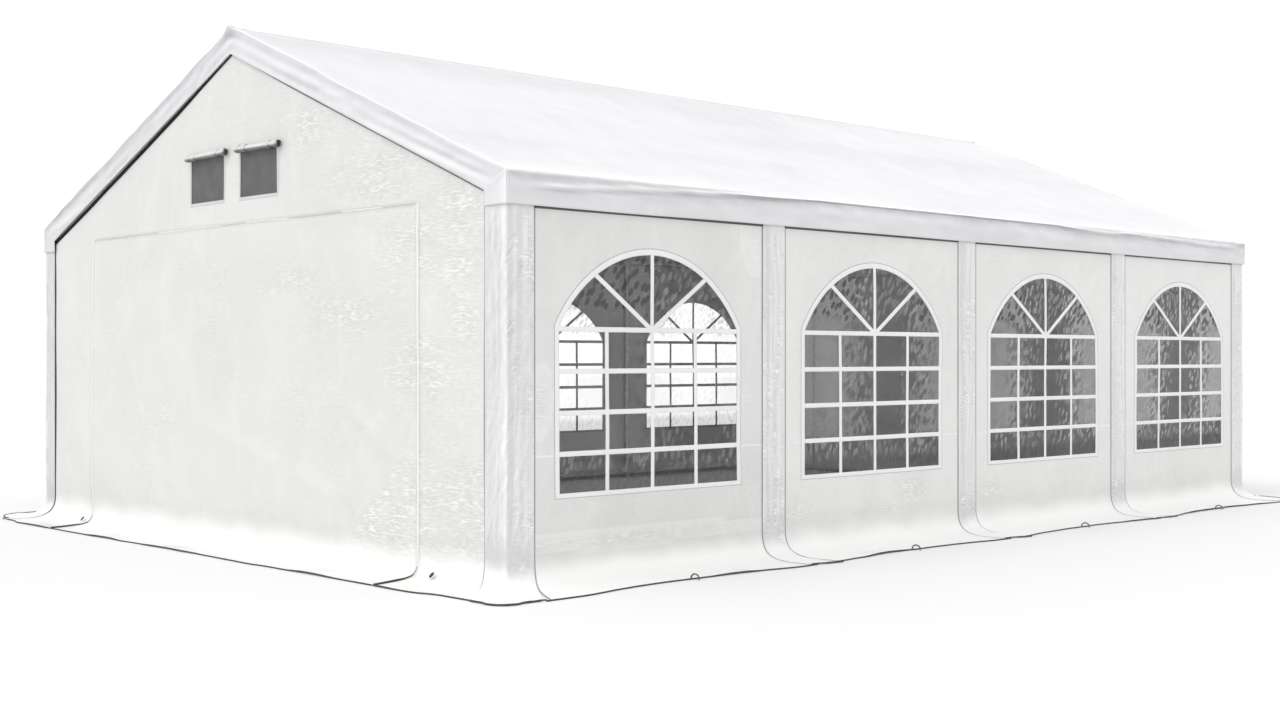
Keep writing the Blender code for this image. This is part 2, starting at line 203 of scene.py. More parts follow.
def steps(*spans):
    """Stations from a chain of (start, end, count) spans, each shared end given once."""
    chain = [np.linspace(start, end, count + 1)[:-1] for start, end, count in spans]
    return np.concatenate(chain + [[spans[-1][1]]])


# Meshes

def lengths(points, axis):
    """Running length along an axis of a grid of points."""
    spans = np.linalg.norm(np.diff(points, axis=axis), axis=-1)
    start = np.zeros_like(np.take(spans, [0], axis=axis))
    return np.concatenate([start, np.cumsum(spans, axis=axis)], axis=axis)


def blurred(values, reach):
    """Mean of the values within so many rows and columns, with the edges repeated."""
    for axis in (0, 1):
        first = np.repeat(np.take(values, [0], axis=axis), reach + 1, axis=axis)
        last = np.repeat(np.take(values, [-1], axis=axis), reach, axis=axis)
        total = np.cumsum(np.concatenate([first, values, last], axis=axis), axis=axis)
        size = values.shape[axis]
        ahead = np.take(total, np.arange(size) + 2 * reach + 1, axis=axis)
        behind = np.take(total, np.arange(size), axis=axis)
        values = (ahead - behind) / (2 * reach + 1)
    return values


def painted_fold_light(points, reach=5):
    """Painted light and shade of folds: how far each place leans up and forward beyond the cloth round
    it, its normal less the mean normal near it, along a direction toward a light up and front left."""
    normal = np.cross(np.gradient(points, axis=1), np.gradient(points, axis=0))
    normal = normal / np.maximum(np.linalg.norm(normal, axis=-1, keepdims=True), 1e-12)
    return (normal - blurred(normal, reach)) @ np.array((-0.35, -0.45, 0.82))


def part(points, uv, facing, keep=None, sheen=0.0, shade=None):
    """One grid of a piece: rows by columns of points in metres, the place of each on the cloth in
    metres, the way the faces look ("out" of a closed tube, or a direction), which quads there are,
    how much painted glint the cloth has (painted shade where that is below 0), and its painted light
    and shade in place of what its own folds give."""
    return points, uv, facing, keep, sheen, shade


def grids(name, parts, material, slot, thick=0.0):
    """A piece of the tent from several grids of points, welded where they meet, with its thickness
    on the inside."""
    gathered = []
    count = 0
    for points, uv, facing, keep, sheen, shade in parts:
        rows, columns = points.shape[:2]
        index = np.arange(rows * columns).reshape(rows, columns)
        quads = np.stack([index[:-1, :-1], index[:-1, 1:], index[1:, 1:], index[1:, :-1]], axis=-1)
        quads = quads.reshape(-1, 4) if keep is None else quads[keep]
        flat = points.reshape(-1, 3)
        a, b, c, d = (flat[quads[:, k]] for k in range(4))
        outward = (a + c) / 2.0 - flat.mean(axis=0) if isinstance(facing, str) else np.array(facing)
        turned = (np.cross(c - a, d - b) * outward).sum() < 0.0
        if turned:
            quads = quads[:, ::-1]
        darkest = -1.2
        if shade is None:
            # The painted shade of a skirt's bend is no darker than that of a shallow fold
            darkest = -0.055
            shade = -painted_fold_light(points) if turned else painted_fold_light(points)
        if slot != "roof_sheet":
            shade = np.maximum(shade, darkest)
        # The relief map holds painted light: the light and shade of folds, and the painted glints
        relief = np.stack(np.broadcast_arrays(np.zeros((rows, columns)) + shade, sheen), axis=-1)
        cloth = np.broadcast_to(uv, (rows, columns, 2))
        gathered.append((quads + count, flat, cloth.reshape(-1, 2), relief.reshape(-1, 2)))
        count += rows * columns
    quads, spots, cloth, relief = (np.concatenate(values) for values in zip(*gathered))
    corners = quads.ravel()
    spots, inverse = np.unique(np.round(spots[corners], 6), axis=0, return_inverse=True)
    mesh = bpy.data.meshes.new(name)
    mesh.from_pydata(spots.tolist(), [], inverse.reshape(-1, 4).tolist(), shade_flat=False)
    for label, values in (("cloth", cloth), ("relief", relief)):
        mesh.uv_layers.new(name=label).data.foreach_set("uv", values[corners].ravel())
    mesh.materials.append(material)
    item = bpy.data.objects.new(name, mesh)
    bpy.context.scene.collection.objects.link(item)
    if thick:
        shell = item.modifiers.new("thickness", "SOLIDIFY")
        shell.thickness = thick
        shell.offset = -1.0
    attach(item, "root")
    return item


def tube(path, radius, sides=10, shade=None):
    """A tube round a path in one plane: at each point a circle of the radius, across the path.

    The circle's axes are the plane's normal and the normal's cross product with the path's
    direction. The ends close on a last small circle.
    """
    path = np.asarray(path, float)
    radii = np.zeros(len(path)) + radius
    path = np.concatenate([path[:1], path, path[-1:]])
    radii = np.concatenate([[radii[0] * 0.02], radii, [radii[-1] * 0.02]])
    run = np.gradient(path[1:-1], axis=0)
    run = np.concatenate([run[:1], run, run[-1:]])
    run /= np.linalg.norm(run, axis=1, keepdims=True)
    plane = np.linalg.svd(path - path.mean(axis=0))[2][2]
    across = np.cross(run, plane)
    across /= np.linalg.norm(across, axis=1, keepdims=True)
    up = np.cross(across, run)
    angle = np.linspace(0.0, 2.0 * math.pi, sides + 1)[None, :, None]
    circle = np.cos(angle) * across[:, None] + np.sin(angle) * up[:, None]
    points = path[:, None] + radii[:, None, None] * circle
    uv = np.stack([lengths(points, 0), lengths(points, 1)], axis=-1)
    return part(points, uv, "out", shade=shade)


def wall_point(wall, side, run, out, height):
    """Points of a window wall ("side") or of a gable, by run, distance out and height."""
    run, out, height = np.broadcast_arrays(run, out, height)
    if wall == "side":
        return np.stack([side * (WALL_X + out), run, height], axis=-1)
    return np.stack([run, side * (WALL_Y + out), height], axis=-1)


def wall_part(wall, side, run, out, height, cloth=None, up=0.0, facing=None, **more):
    """A grid on a wall. Its place on the cloth is its run and its height, or its length of cloth.
    It looks out of the wall, and a little upward for a skirt."""
    points = wall_point(wall, side, run, out, height)
    cloth = np.broadcast_to(height if cloth is None else cloth, points.shape[:2])
    uv = np.stack([np.broadcast_to(run, points.shape[:2]), cloth], axis=-1)
    if facing is None:
        facing = (side, 0.0, up) if wall == "side" else (0.0, side, up)
    return part(points, uv, facing, **more)


def ring_part(wall, side, outline, lines, bulge, **more):
    """A strip round an outline. Each line gives how far it grows the outline and how high it is."""
    run, height = np.array([outline(grow) for grow, rise in lines]).transpose(1, 0, 2)
    return wall_part(wall, side, run, bulge(run, height) + np.array(lines)[:, 1:], height, **more)


# Shader trees

def put(tree, socket, value):
    """Give a socket another node's value, a number or a colour. None leaves it as it is."""
    if isinstance(value, Value):
        tree.links.new(value.socket, socket)
    elif value is not None:
        socket.default_value = value


class Value:
    """What comes out of a node. Sums and products of values are Math nodes."""

    def __init__(self, tree, socket):
        self.tree = tree
        self.socket = socket

    def maths(self, operation, other=None, clamp=False, after=False):
        """A Math node of this value and another, in that order unless this one comes after."""
        item = self.tree.nodes.new("ShaderNodeMath")
        item.operation = operation
        item.use_clamp = clamp
        for socket, value in zip(item.inputs, (other, self) if after else (self, other)):
            put(self.tree, socket, value)
        return Value(self.tree, item.outputs[0])

    def __add__(self, other):
        return self.maths("ADD", other)

    def __sub__(self, other):
        return self.maths("SUBTRACT", other)

    def __rsub__(self, other):
        return self.maths("SUBTRACT", other, after=True)

    def __mul__(self, other):
        return self.maths("MULTIPLY", other)

    def at_least(self, other):
        return self.maths("MAXIMUM", other)

    def at_most(self, other):
        return self.maths("MINIMUM", other)


class Shader:
    """A node tree and the node that takes its results, with ways to add other nodes."""

    def __init__(self, tree, end):
        self.tree = tree
        self.end = end

    def node(self, kind, out=0, **values):
        """Add a node. Keywords set its properties; one that starts with in_ sets an input, if given."""
        item = self.tree.nodes.new("ShaderNode" + kind)
        for key, value in values.items():
            if not key.startswith("in_"):
                setattr(item, key, value)
        for key, value in values.items():
            if key.startswith("in_") and value is not None:
                key = key[3:]
                put(self.tree, item.inputs[int(key) if key.isdigit() else key.replace("_", " ")], value)
        return Value(self.tree, item.outputs[out])

    def result(self, **values):
        """Hand values to the tree's last node."""
        for key, value in values.items():
            put(self.tree, self.end.inputs[key.replace("_", " ")], value)

    def group(self, source, **values):
        """A group node with its values: its outputs by name."""
        item = self.tree.nodes.new("ShaderNodeGroup")
        item.node_tree = source
        for key, value in values.items():
            put(self.tree, item.inputs[key.replace("_", " ")], value)
        return {socket.name: Value(self.tree, socket) for socket in item.outputs}

    def uv(self, name):
        """The place on the cloth or the relief of a piece."""
        return self.node("UVMap", uv_map=name)

    def split(self, vector):
        """The three parts of a vector."""
        item = self.tree.nodes.new("ShaderNodeSeparateXYZ")
        put(self.tree, item.inputs[0], vector)
        return [Value(self.tree, socket) for socket in item.outputs]

    def vector(self, operation, a, b=None, scale=None, out=0):
        """A Vector Math node's value."""
        return self.node("VectorMath", out, operation=operation, in_0=a, in_1=b, in_Scale=scale)

    def grain(self, vector, scale, detail=2.0, rough=0.5, stretch=None, warp=0.0):
        """Noise from 0 to 1, stretched along the cloth if asked."""
        if stretch is not None:
            vector = self.vector("MULTIPLY", vector, (*stretch, 1.0))
        return self.node(
            "TexNoise", "Fac", noise_dimensions="2D", in_Vector=vector, in_Scale=scale, in_Detail=detail,
            in_Roughness=rough, in_Distortion=warp)

    def threads(self, vector, direction, scale):
        """Even waves across a direction."""
        return self.node(
            "TexWave", "Fac", wave_type="BANDS", bands_direction=direction, in_Vector=vector, in_Scale=scale)

    def spread(self, value, low, high, to_low=0.0, to_high=1.0):
        """Map Range, smooth and clamped."""
        return self.node(
            "MapRange", interpolation_type="SMOOTHSTEP", in_Value=value, in_From_Min=low, in_From_Max=high,
            in_To_Min=to_low, in_To_Max=to_high)

    def blend(self, share, a, b):
        """Mix two colours."""
        return self.node("Mix", 2, data_type="RGBA", in_0=share, in_6=a, in_7=b)

    def bump(self, height, strength, distance):
        """A bumped normal."""
        return self.node("Bump", in_Strength=strength, in_Distance=distance, in_Height=height)


def new_finish(name):
    """A new material and its shader, which ends in a Principled node."""
    material = bpy.data.materials.new(name)
    material.use_nodes = True
    tree = material.node_tree
    return material, Shader(tree, tree.nodes["Principled BSDF"])


def new_group(name, inputs, outputs):
    """A new shader node group: its shader and its inputs by name."""
    tree = bpy.data.node_groups.new(name, "ShaderNodeTree")
    for way, sockets in (("INPUT", inputs), ("OUTPUT", outputs)):
        for label, kind in sockets:
            tree.interface.new_socket(name=label, in_out=way, socket_type="NodeSocket" + kind)
    given = tree.nodes.new("NodeGroupInput")
    values = {label: Value(tree, given.outputs[label]) for label, kind in inputs}
    return Shader(tree, tree.nodes.new("NodeGroupOutput")), values


# Finishes

def woven_group():
    """Coated tape-woven sheet. The tapes are a fine over-and-under weave in the height. Slubs are
    short streaks along and across the cloth. Glints are painted highlights: fine bright dashes where
    the coating would catch the light. Folds are painted lighter or darker by their lean toward the
    light, and the foot is painted whiter, as lit from above. A sheen below 0 is painted shade."""
    s, given = new_group(
        "woven_sheet",
        (("Cloth", "Vector"), ("Relief", "Vector"), ("Place", "Vector"), ("Sheet Colour", "Color"),
         ("Glint Colour", "Color"), ("Glint Share", "Float"), ("Slub Share", "Float"),
         ("Fold Share", "Float"), ("Foot Height", "Float"), ("Gloss", "Float")),
        (("Colour", "Color"), ("Roughness", "Float"), ("Height", "Float")))
    cloth = given["Cloth"]
    lean, sheen, _ = s.split(given["Relief"])
    tapes = s.threads(cloth, "X", 60.0) * s.threads(cloth, "Y", 60.0)
    slubs = s.grain(cloth, 1.0, 3.0, 0.6, (12.0, 150.0)) + s.grain(cloth, 1.0, 3.0, 0.6, (150.0, 12.0))
    # Painted glints: dashes inside soft patches, and where the piece itself says so
    patch = s.spread(s.grain(cloth, 1.7, 3.0, 0.6, None, 0.8), 0.5, 0.72, 0.0, 0.25)
    dashes = s.spread(s.grain(cloth, 1.0, 3.0, 0.6, (17.0, 88.0)), 0.42, 0.62)
    streaks = s.spread(s.grain(cloth, 1.0, 3.0, 0.6, (3.0, 22.0)), 0.38, 0.60)
    dashes = dashes * (streaks * 0.6 + 0.4)
    where = patch.at_least(sheen)
    glint = (where * dashes).maths("MULTIPLY", given["Glint Share"], clamp=True)
    # Slubs, and the painted light and shade of folds, lighten or darken the sheet; the sheet is
    # painted darker under the glints and where the sheen is below 0
    slubby = s.spread(slubs, 0.75, 1.25, -0.5, 0.5) * given["Slub Share"]
    cloudy = s.spread(s.grain(cloth, 0.9, 3.0, 0.6, None, 1.0), 0.3, 0.7, -0.25, 0.25)
    level = slubby * 0.07 + 1.0 + lean * given["Fold Share"] + cloudy * 0.08
    level = level - where * 0.14 + sheen.at_most(0.0)
    colour = s.blend(glint, s.vector("SCALE", given["Sheet Colour"], scale=level), given["Glint Colour"])
    # Foot: painted whiter below a ragged height, as light falls on the skirt
    height = s.split(given["Place"])[2] + (s.grain(cloth, 2.6, 1.0, 0.5) - 0.5) * 0.08
    foot = s.spread(height, given["Foot Height"] * 0.25, given["Foot Height"], 1.0, 0.0)
    white = s.vector("SCALE", given["Sheet Colour"], scale=1.30)
    white = s.vector("MINIMUM", white, (0.98, 0.98, 0.97))
    relief = tapes * 0.35 + slubs * 0.45 + dashes * (where * 0.8)
    s.result(Colour=s.blend(foot, colour, white), Roughness=given["Gloss"] - glint * 0.15, Height=relief)
    return s.tree


def crumple_group():
    """Creases of cloth: ridged noise, 1 - |2 n - 1| raised to a power, at two sizes."""
    s, given = new_group(
        "crumple", (("Cloth", "Vector"), ("Size", "Float")), (("Height", "Float"), ("Line", "Float")))
    ridges = []
    for stretch, share in (((1.0, 0.45), 0.6), ((2.6, 1.7), 0.4)):
        noise = s.grain(given["Cloth"], given["Size"], 2.0, 0.5, stretch, 0.35)
        valley = (noise * 2.0 - 1.0).maths("ABSOLUTE")
        ridges.append(valley.maths("SUBTRACT", 1.0, clamp=True, after=True).maths("POWER", 7.0) * share)
    total = ridges[0] + ridges[1]
    s.result(Height=total, Line=s.spread(total, 0.25, 0.9))
    return s.tree


WOVEN = woven_group()
CRUMPLE = crumple_group()


def woven_material(name, colour, glint, values, crease_size, crease):
    """A woven sheet finish: values are its glint, slub and fold shares, foot height and gloss."""
    material, s = new_finish(name)
    cloth = s.uv("cloth")
    labels = ("Glint_Share", "Slub_Share", "Fold_Share", "Foot_Height", "Gloss")
    weave = s.group(
        WOVEN, Cloth=cloth, Relief=s.uv("relief"), Place=s.node("TexCoord", "Object"),
        Sheet_Colour=(*colour, 1.0), Glint_Colour=(*glint, 1.0), **dict(zip(labels, values)))
    creases = s.group(CRUMPLE, Cloth=cloth, Size=crease_size)
    # Crease lines are painted lighter, toward the glint colour, as highlights
    lit = s.blend(creases["Line"] * crease, weave["Colour"], (*glint, 1.0))
    # The inner face is painted a little darker, as shade inside the tent: there the normal points
    # toward the middle of the tent
    outward = s.vector("DOT_PRODUCT", s.node("TexCoord", "Normal"), s.node("TexCoord", "Object"), out="Value")
    lit = s.vector("SCALE", lit, scale=s.spread(outward, -0.2, -0.05, 0.86, 1.0))
    height = weave["Height"] + creases["Height"] * (crease * 12.0)
    s.result(
        Base_Color=lit, Roughness=weave["Roughness"], Normal=s.bump(height, 0.6, 0.0006), Coat_Weight=0.1,
        Coat_Roughness=0.3)
    return material


def plain_material(name, colour, rough, metallic, size, contrast):
    """A finish whose colour and roughness vary over fine grain, with a little bump."""
    material, s = new_finish(name)
    noise = s.node("TexNoise", "Fac", in_Vector=s.node("TexCoord", "Object"), in_Scale=size, in_Detail=4.0)
    darker = tuple(c * (1.0 - contrast) for c in colour)
    lighter = tuple(min(1.0, c * (1.0 + contrast)) for c in colour)
    s.result(
        Base_Color=s.blend(s.spread(noise, 0.3, 0.7), (*darker, 1.0), (*lighter, 1.0)),
        Roughness=s.spread(noise, 0.3, 0.7, rough - 0.08, rough + 0.1), Metallic=metallic,
        Normal=s.bump(noise, 0.5, 0.0004))
    return material


def shadow_line_material():
    """Painted shadow lines from black to grey: dark ribbons put where shade falls beside the covers,
    under the roof's edges and along the skirts' edges and slits. Each ribbon says how light it is.
    """
    material, s = new_finish("painted_shadow_line_finish")
    ribs = s.grain(s.uv("cloth"), 300.0)
    level = s.split(s.uv("relief"))[0] * s.spread(ribs, 0.3, 0.7, 0.8, 1.2)
    s.result(
        Base_Color=s.node("CombineXYZ", in_0=level, in_1=level, in_2=level),
        Roughness=s.spread(ribs, 0.3, 0.7, 0.65, 0.85), Normal=s.bump(ribs, 0.3, 0.0003))
    return material


def film_material():
    """Clear flexible film with a painted reflection: a pale colour covers more of it the flatter it
    is seen. Round its darker middle, its foot and its arch the painted reflection is hammered:
    short slanting dabs, light ones in the dark and dark ones in the light. The relief map holds the
    distance from the dark middle and the height above the sill."""
    material, s = new_finish("window_film_clear")
    cloth = s.uv("cloth")
    across, above, _ = s.split(s.uv("relief"))
    dabs = []
    for turn, size in ((1.15, 27.0), (0.85, 25.0)):
        turned = s.node(
            "Mapping", vector_type="TEXTURE", in_Vector=cloth, in_Rotation=(0.0, 0.0, turn),
            in_Scale=(1.9, 1.0, 1.0))
        cells = s.node(
            "TexVoronoi", "Distance", voronoi_dimensions="2D", feature="F1", in_Vector=turned, in_Scale=size,
            in_Randomness=1.0)
        dabs.append(s.spread(cells, 0.24, 0.46, 1.0, 0.0))
    foot = s.spread(above, 0.16, 0.26, 1.0, 0.0)
    arch = s.spread(above, 0.86, 1.0)
    away = (across.maths("ABSOLUTE") * 3.2 - 1.0).at_most(0.8 - foot * 1.2)
    away = away + (s.grain(cloth, 5.0) - 0.5) * 0.8
    band = s.spread(away.maths("ABSOLUTE"), 0.2, 0.9, 1.0, 0.08).at_least(foot.at_least(arch) * 0.6)
    plain = s.spread(away, -0.4, 0.4)
    bright = dabs[0] * band * (1.1 - plain)
    dark = dabs[1] * band * (plain + 0.2)
    light = (plain * 0.88 + bright * 0.75).maths("SUBTRACT", dark * 0.6, clamp=True)
    slant = s.node("LayerWeight", "Facing", in_Blend=0.5)
    mirror = slant.maths("POWER", 2.15) * 1.02 * (light + 0.24) + bright * 0.025
    # Painted shade: dark dabs in the arch and the foot, and a dark strip over the sill
    ends = arch.at_least(foot * 0.55)
    painted_dark = (dark * ends).maths("MULTIPLY", 1.9, clamp=True).at_least(s.spread(above, 0.06, 0.16, 0.95, 0.0))
    mirror = mirror + bright * ends * 0.07 + painted_dark * 0.30
    tint = s.blend(light, (0.55, 0.55, 0.555, 1.0), (0.95, 0.95, 0.96, 1.0))
    s.result(
        Alpha=mirror + 0.005, Base_Color=s.blend(painted_dark, tint, (0.05, 0.05, 0.052, 1.0)),
        Roughness=s.spread(light, 0.0, 1.0, 0.08, 0.2), Normal=s.bump(light, 0.4, 0.002))
    return material


def mesh_material():
    """Insect mesh: two sets of fine threads, open between them, so a little shows through."""
    material, s = new_finish("vent_mesh_threads")
    cloth = s.uv("cloth")
    threads = s.threads(cloth, "X", 110.0).at_least(s.threads(cloth, "Y", 110.0))
    broad = s.spread(s.grain(cloth, 9.0), 0.3, 0.7)
    s.result(
        Base_Color=s.blend(broad, (0.115, 0.115, 0.116, 1.0), (0.135, 0.135, 0.137, 1.0)),
        Alpha=s.spread(threads, 0.2, 0.8, 0.72, 1.0), Roughness=0.7, Normal=s.bump(threads, 0.4, 0.0004))
    return material


# Roof, gable, window walls and covers are one white sheet: each copy's colour is set lighter or darker as
# painted light and shade on its part
ROOF_CLOTH = woven_material(
    "roof_sheet_cloth", (0.825, 0.829, 0.850), (0.96, 0.96, 0.97), (0.3, 0.15, 0.95, 0.001, 0.5), 2.2, 0.10)
GABLE_CLOTH = woven_material(
    "gable_sheet_cloth", (0.733, 0.733, 0.720), (0.97, 0.97, 0.96), (1.0, 0.5, 0.7, 0.21, 0.42), 1.6, 0.10)
WALL_CLOTH = woven_material(
    "wall_sheet_cloth", (0.800, 0.800, 0.790), (0.98, 0.98, 0.97), (0.9, 0.5, 0.7, 0.19, 0.45), 1.8, 0.10)
COVER_CLOTH = woven_material(
    "cover_sheet_cloth", (0.75, 0.75, 0.755), (0.98, 0.98, 0.98), (1.0, 1.0, 1.6, 0.14, 0.45), 5.0, 0.16)
TRIM_CLOTH = woven_material(
    "window_trim", (0.87, 0.87, 0.87), (0.97, 0.97, 0.97), (0.1, 0.1, 0.3, 0.02, 0.4), 4.0, 0.03)
STEEL = plain_material("galvanised_tube", (0.62, 0.64, 0.66), 0.38, 1.0, 25.0, 0.18)
DARK_TRIM = plain_material("dark_trim", (0.03, 0.03, 0.032), 0.5, 0.0, 90.0, 0.3)
PEG_STEEL = plain_material("peg_steel", (0.20, 0.20, 0.21), 0.45, 0.8, 80.0, 0.3)
SEAM_GREY = plain_material("seam_grey", (0.42, 0.42, 0.42), 0.7, 0.0, 300.0, 0.25)
PAINTED_SHADOW_LINES = shadow_line_material()
FILM = film_material()
VENT_THREADS = mesh_material()


# Window walls

# Dark cords along the skirts' edges and the door's slits, painted as shadow
SKIRT_SHADOW_CORDS = {"right": [], "left": [], "front": [], "back": []}
SHADOW_CORD_LEVEL = 0.07


def add_skirt_shadow_cord(word, edge):
    """A dark cord along the outer edge of a skirt, on the ground: painted shadow under the edge."""
    path = edge + 0.0
    path[:, 2] = np.maximum(path[:, 2], SHADOW_CORD_Z)
    SKIRT_SHADOW_CORDS[word].append(tube(path, SHADOW_CORD_RADIUS, 8, SHADOW_CORD_LEVEL))


def skirt_rows(pull, bend, count=14):
    """Out and height of the skirt from its outer edge to the top of its bend: a flat strip, then
    a cubic Bezier curve that turns it up the wall, with its inner knots at pull and bend."""
    knots = np.array(((0.22, GROUND_GAP), (pull, GROUND_GAP), (0.0, bend), (0.0, BEND_Z)))
    t = np.linspace(0.0, 1.0, count)[:, None]
    s = 1.0 - t
    bend = s ** 3 * knots[0] + 3 * s * s * t * knots[1] + 3 * s * t * t * knots[2] + t ** 3 * knots[3]
    flat = np.linspace(SKIRT_REACH, knots[0][0], 5)[:-1]
    return np.concatenate([flat, bend[:, 0]]), np.concatenate([np.full(4, GROUND_GAP), bend[:, 1]])


SKIRT_OUT, SKIRT_Z = skirt_rows(0.05, 0.05)
SHARP_OUT, SHARP_Z = skirt_rows(0.01, 0.006)
SKIRT_ROWS = len(SKIRT_Z)


def cloth_rows(height):
    """Length of cloth from the skirt's edge up to each height, for grids that begin with the skirt."""
    cloth = np.cumsum(np.concatenate([[0.0], np.hypot(np.diff(SKIRT_OUT), np.diff(SKIRT_Z))]))
    rows = height - BEND_Z + cloth[-1]
    rows[:SKIRT_ROWS] = cloth[:, None]
    return rows


def side_bulge(side, bay, run, height):
    """How far a window wall stands out: slow swells and small ripples, still at the posts, and
    drag lines from the window's corners."""
    seed = 20 + bay + (4 if side < 0 else 0)
    across = run - BAYS[bay]
    still = ramp(0.86, 0.70, np.abs(across)) * ramp(1.92, 1.76, height) * ramp(0.05, 0.35, height)
    out = 0.006 * swell(run, height, 0.62, 0.75, seed) + 0.0022 * swell(run, height, 0.19, 0.26, seed + 40)
    for way in (-1.0, 1.0):
        out = out + 0.0035 * fold(across, height, (way * 0.74, 0.43), (way * 0.98, 0.10), 0.02)
        out = out + 0.0025 * fold(across, height, (way * 0.60, 1.62), (way * 0.95, 1.95), 0.025)
    return out * still


def skirt_shape(run, out, height, seed, calm, reach=0.0):
    """The skirt's outer edge wanders in and out by about 2 cm and lifts a few millimetres. Under
    the covers, where calm is 0, it lies still. Reach moves the edge outwards."""
    share = ramp(0.05, SKIRT_REACH, out)
    wander = 0.010 * swell(run, out, 0.7, 9.0, seed) + 0.006 * swell(run, out, 0.19, 9.0, seed + 1)
    moved = out + share * (calm * wander + reach)
    lifted = height + calm * share * 0.007 * ramp(-0.5, 0.8, swell(run, out, 0.33, 0.5, seed + 2))
    bend = ramp(0.01, 0.06, out) * (1.0 - share)
    lifted = lifted + calm * 0.005 * swell(run, out, 0.21, 0.10, seed + 3) * bend
    return moved, np.maximum(lifted, 0.0022)


def side_surface(side, bay, run, out, height):
    """A window wall's surface at a place of its flat pattern: bulge above, skirt shape below."""
    across = np.abs(run - BAYS[bay])
    calm = ramp(0.93, 0.80, across)
    reach = 0.030 * ramp(0.55, 0.90, across) - 0.035 * ramp(0.75, 0.15, across)
    moved, lifted = skirt_shape(run, out, height, 60 + bay + (4 if side < 0 else 0), calm, reach)
    return moved + side_bulge(side, bay, run, height), np.where(out > 0.0, lifted, height)


def side_painted_light(bay, across, height):
    """Where glints are painted on a window wall: small patches beside and below the window, other
    ones in each bay. Elsewhere the first bay is painted a little darker, more so low down."""
    total = patches(across, height, (
        ((-0.82, 0.95, 0.05, 0.12, 0.8), (-0.2, 0.215, 0.8, 0.03, 0.7), (0.85, 1.9, 0.1, 0.2, 0.3)),
        ((0.42, 0.34, 0.16, 0.12, 0.95), (-0.75, 0.26, 0.14, 0.05, 0.7), (0.1, 0.22, 0.7, 0.03, 0.4)),
        ((-0.70, 0.28, 0.18, 0.07, 0.7), (-0.66, 1.85, 0.2, 0.08, 0.5)),
        ((-0.3, 0.24, 0.4, 0.03, 0.4), (0.7, 1.85, 0.15, 0.06, 0.3)))[bay])
    painted_shade = -0.055 - 0.03 * ramp(0.9, 0.5, height) if bay == 0 else 0.0
    return np.where(total > 0.06, total, painted_shade)


def arch_height(across):
    """The window arch above a place across the bay: one circular arc from spring to top."""
    return ARC_Z + np.sqrt(np.maximum(ARC_RADIUS ** 2 - across ** 2, 0.0))


def build_side_wall(side, word, bay):
    """A window wall's sheet with its skirt and the arched hole. The rows over the window run from
    the arch up to the top by equal shares, so that they follow the arch."""
    centre = BAYS[bay]
    low = POSTS[bay] + JOINT_GAP if bay else CORNER_GAP - WALL_Y
    high = POSTS[bay + 1] - JOINT_GAP if bay < 3 else WALL_Y - CORNER_GAP
    left, right = centre - GLASS_HALF, centre + GLASS_HALF
    run = steps((low, left, 14), (left, right, 48), (right, high, 14))
    middle = np.abs(run - centre) <= GLASS_HALF + 1e-6
    lower = np.concatenate([
        SKIRT_Z, np.linspace(BEND_Z, SILL_Z, 12)[1:], np.linspace(SILL_Z, SPRING_Z, 30)[1:]])
    spring = np.where(middle, arch_height(run - centre), SPRING_Z)
    upper = spring + np.linspace(0.0, 1.0, 26)[:, None] * (WALL_TOP - spring)
    height = np.concatenate([np.repeat(lower[:, None], len(run), axis=1), upper])
    out = np.concatenate([SKIRT_OUT, np.zeros(len(height) - SKIRT_ROWS)])[:, None]
    runs = np.repeat(run[None, :], len(height), axis=0)
    if bay == 0:
        runs = runs - SIDE_FLARE * out * ramp(centre - 0.7, low, runs)
    if bay == 3:
        runs = runs + SIDE_FLARE * out * ramp(centre + 0.7, high, runs)
    cloth = cloth_rows(height)
    sheen = side_painted_light(bay, side * (runs - centre), height)
    out, height = side_surface(side, bay, runs, out, height)
    keep = np.ones((len(height) - 1, len(run) - 1), bool)
    first = SKIRT_ROWS + 11 - 1
    last = len(lower) - 1
    keep[first:last, middle[:-1] & middle[1:]] = False
    keep[last, :] = False
    sheet = wall_part("side", side, runs, out, height, cloth, 0.2, keep=keep, sheen=sheen)
    hem = sheet[0][0]
    from_y = cover_run(bay, 1.0, SKIRT_REACH) if bay else -CORNER_EDGE
    to_y = cover_run(bay + 1, -1.0, SKIRT_REACH) if bay < 3 else CORNER_EDGE
    under = [0.015 if side * end > 0 and bay == last else 0.035 for end, last in ((-1, 0), (1, 3))]
    add_skirt_shadow_cord(word, hem[(hem[:, 1] > from_y - under[0]) & (hem[:, 1] < to_y + under[1])])
    panel = grids(f"wall_sheet_{word}_{bay + 1}", [sheet], WALL_CLOTH, "wall_sheet", SHEET)
    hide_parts(f"side_panel_{word}_{bay + 1}")


def window_ring(grow, centre):
    """The window's outline, grown by so much: sill, straight sides and arc, as run and height.

    The grown arc keeps its centre and has a larger radius; the sill grows by three quarters.
    """
    half = GLASS_HALF + grow
    radius = ARC_RADIUS + grow
    widest = math.asin(min(half / radius, 1.0))
    angle = np.linspace(widest, -widest, 61)
    spring = ARC_Z + radius * math.cos(widest)
    sill = SILL_Z - 0.75 * grow
    run = np.concatenate([
        np.linspace(-half, half, 31), np.full(23, half), radius * np.sin(angle), np.full(23, -half)])
    height = np.concatenate([
        np.full(31, sill), np.linspace(sill, spring, 25)[1:-1], ARC_Z + radius * np.cos(angle),
        np.linspace(spring, sill, 25)[1:-1]])
    return np.append(run, run[0]) + centre, np.append(height, height[0])


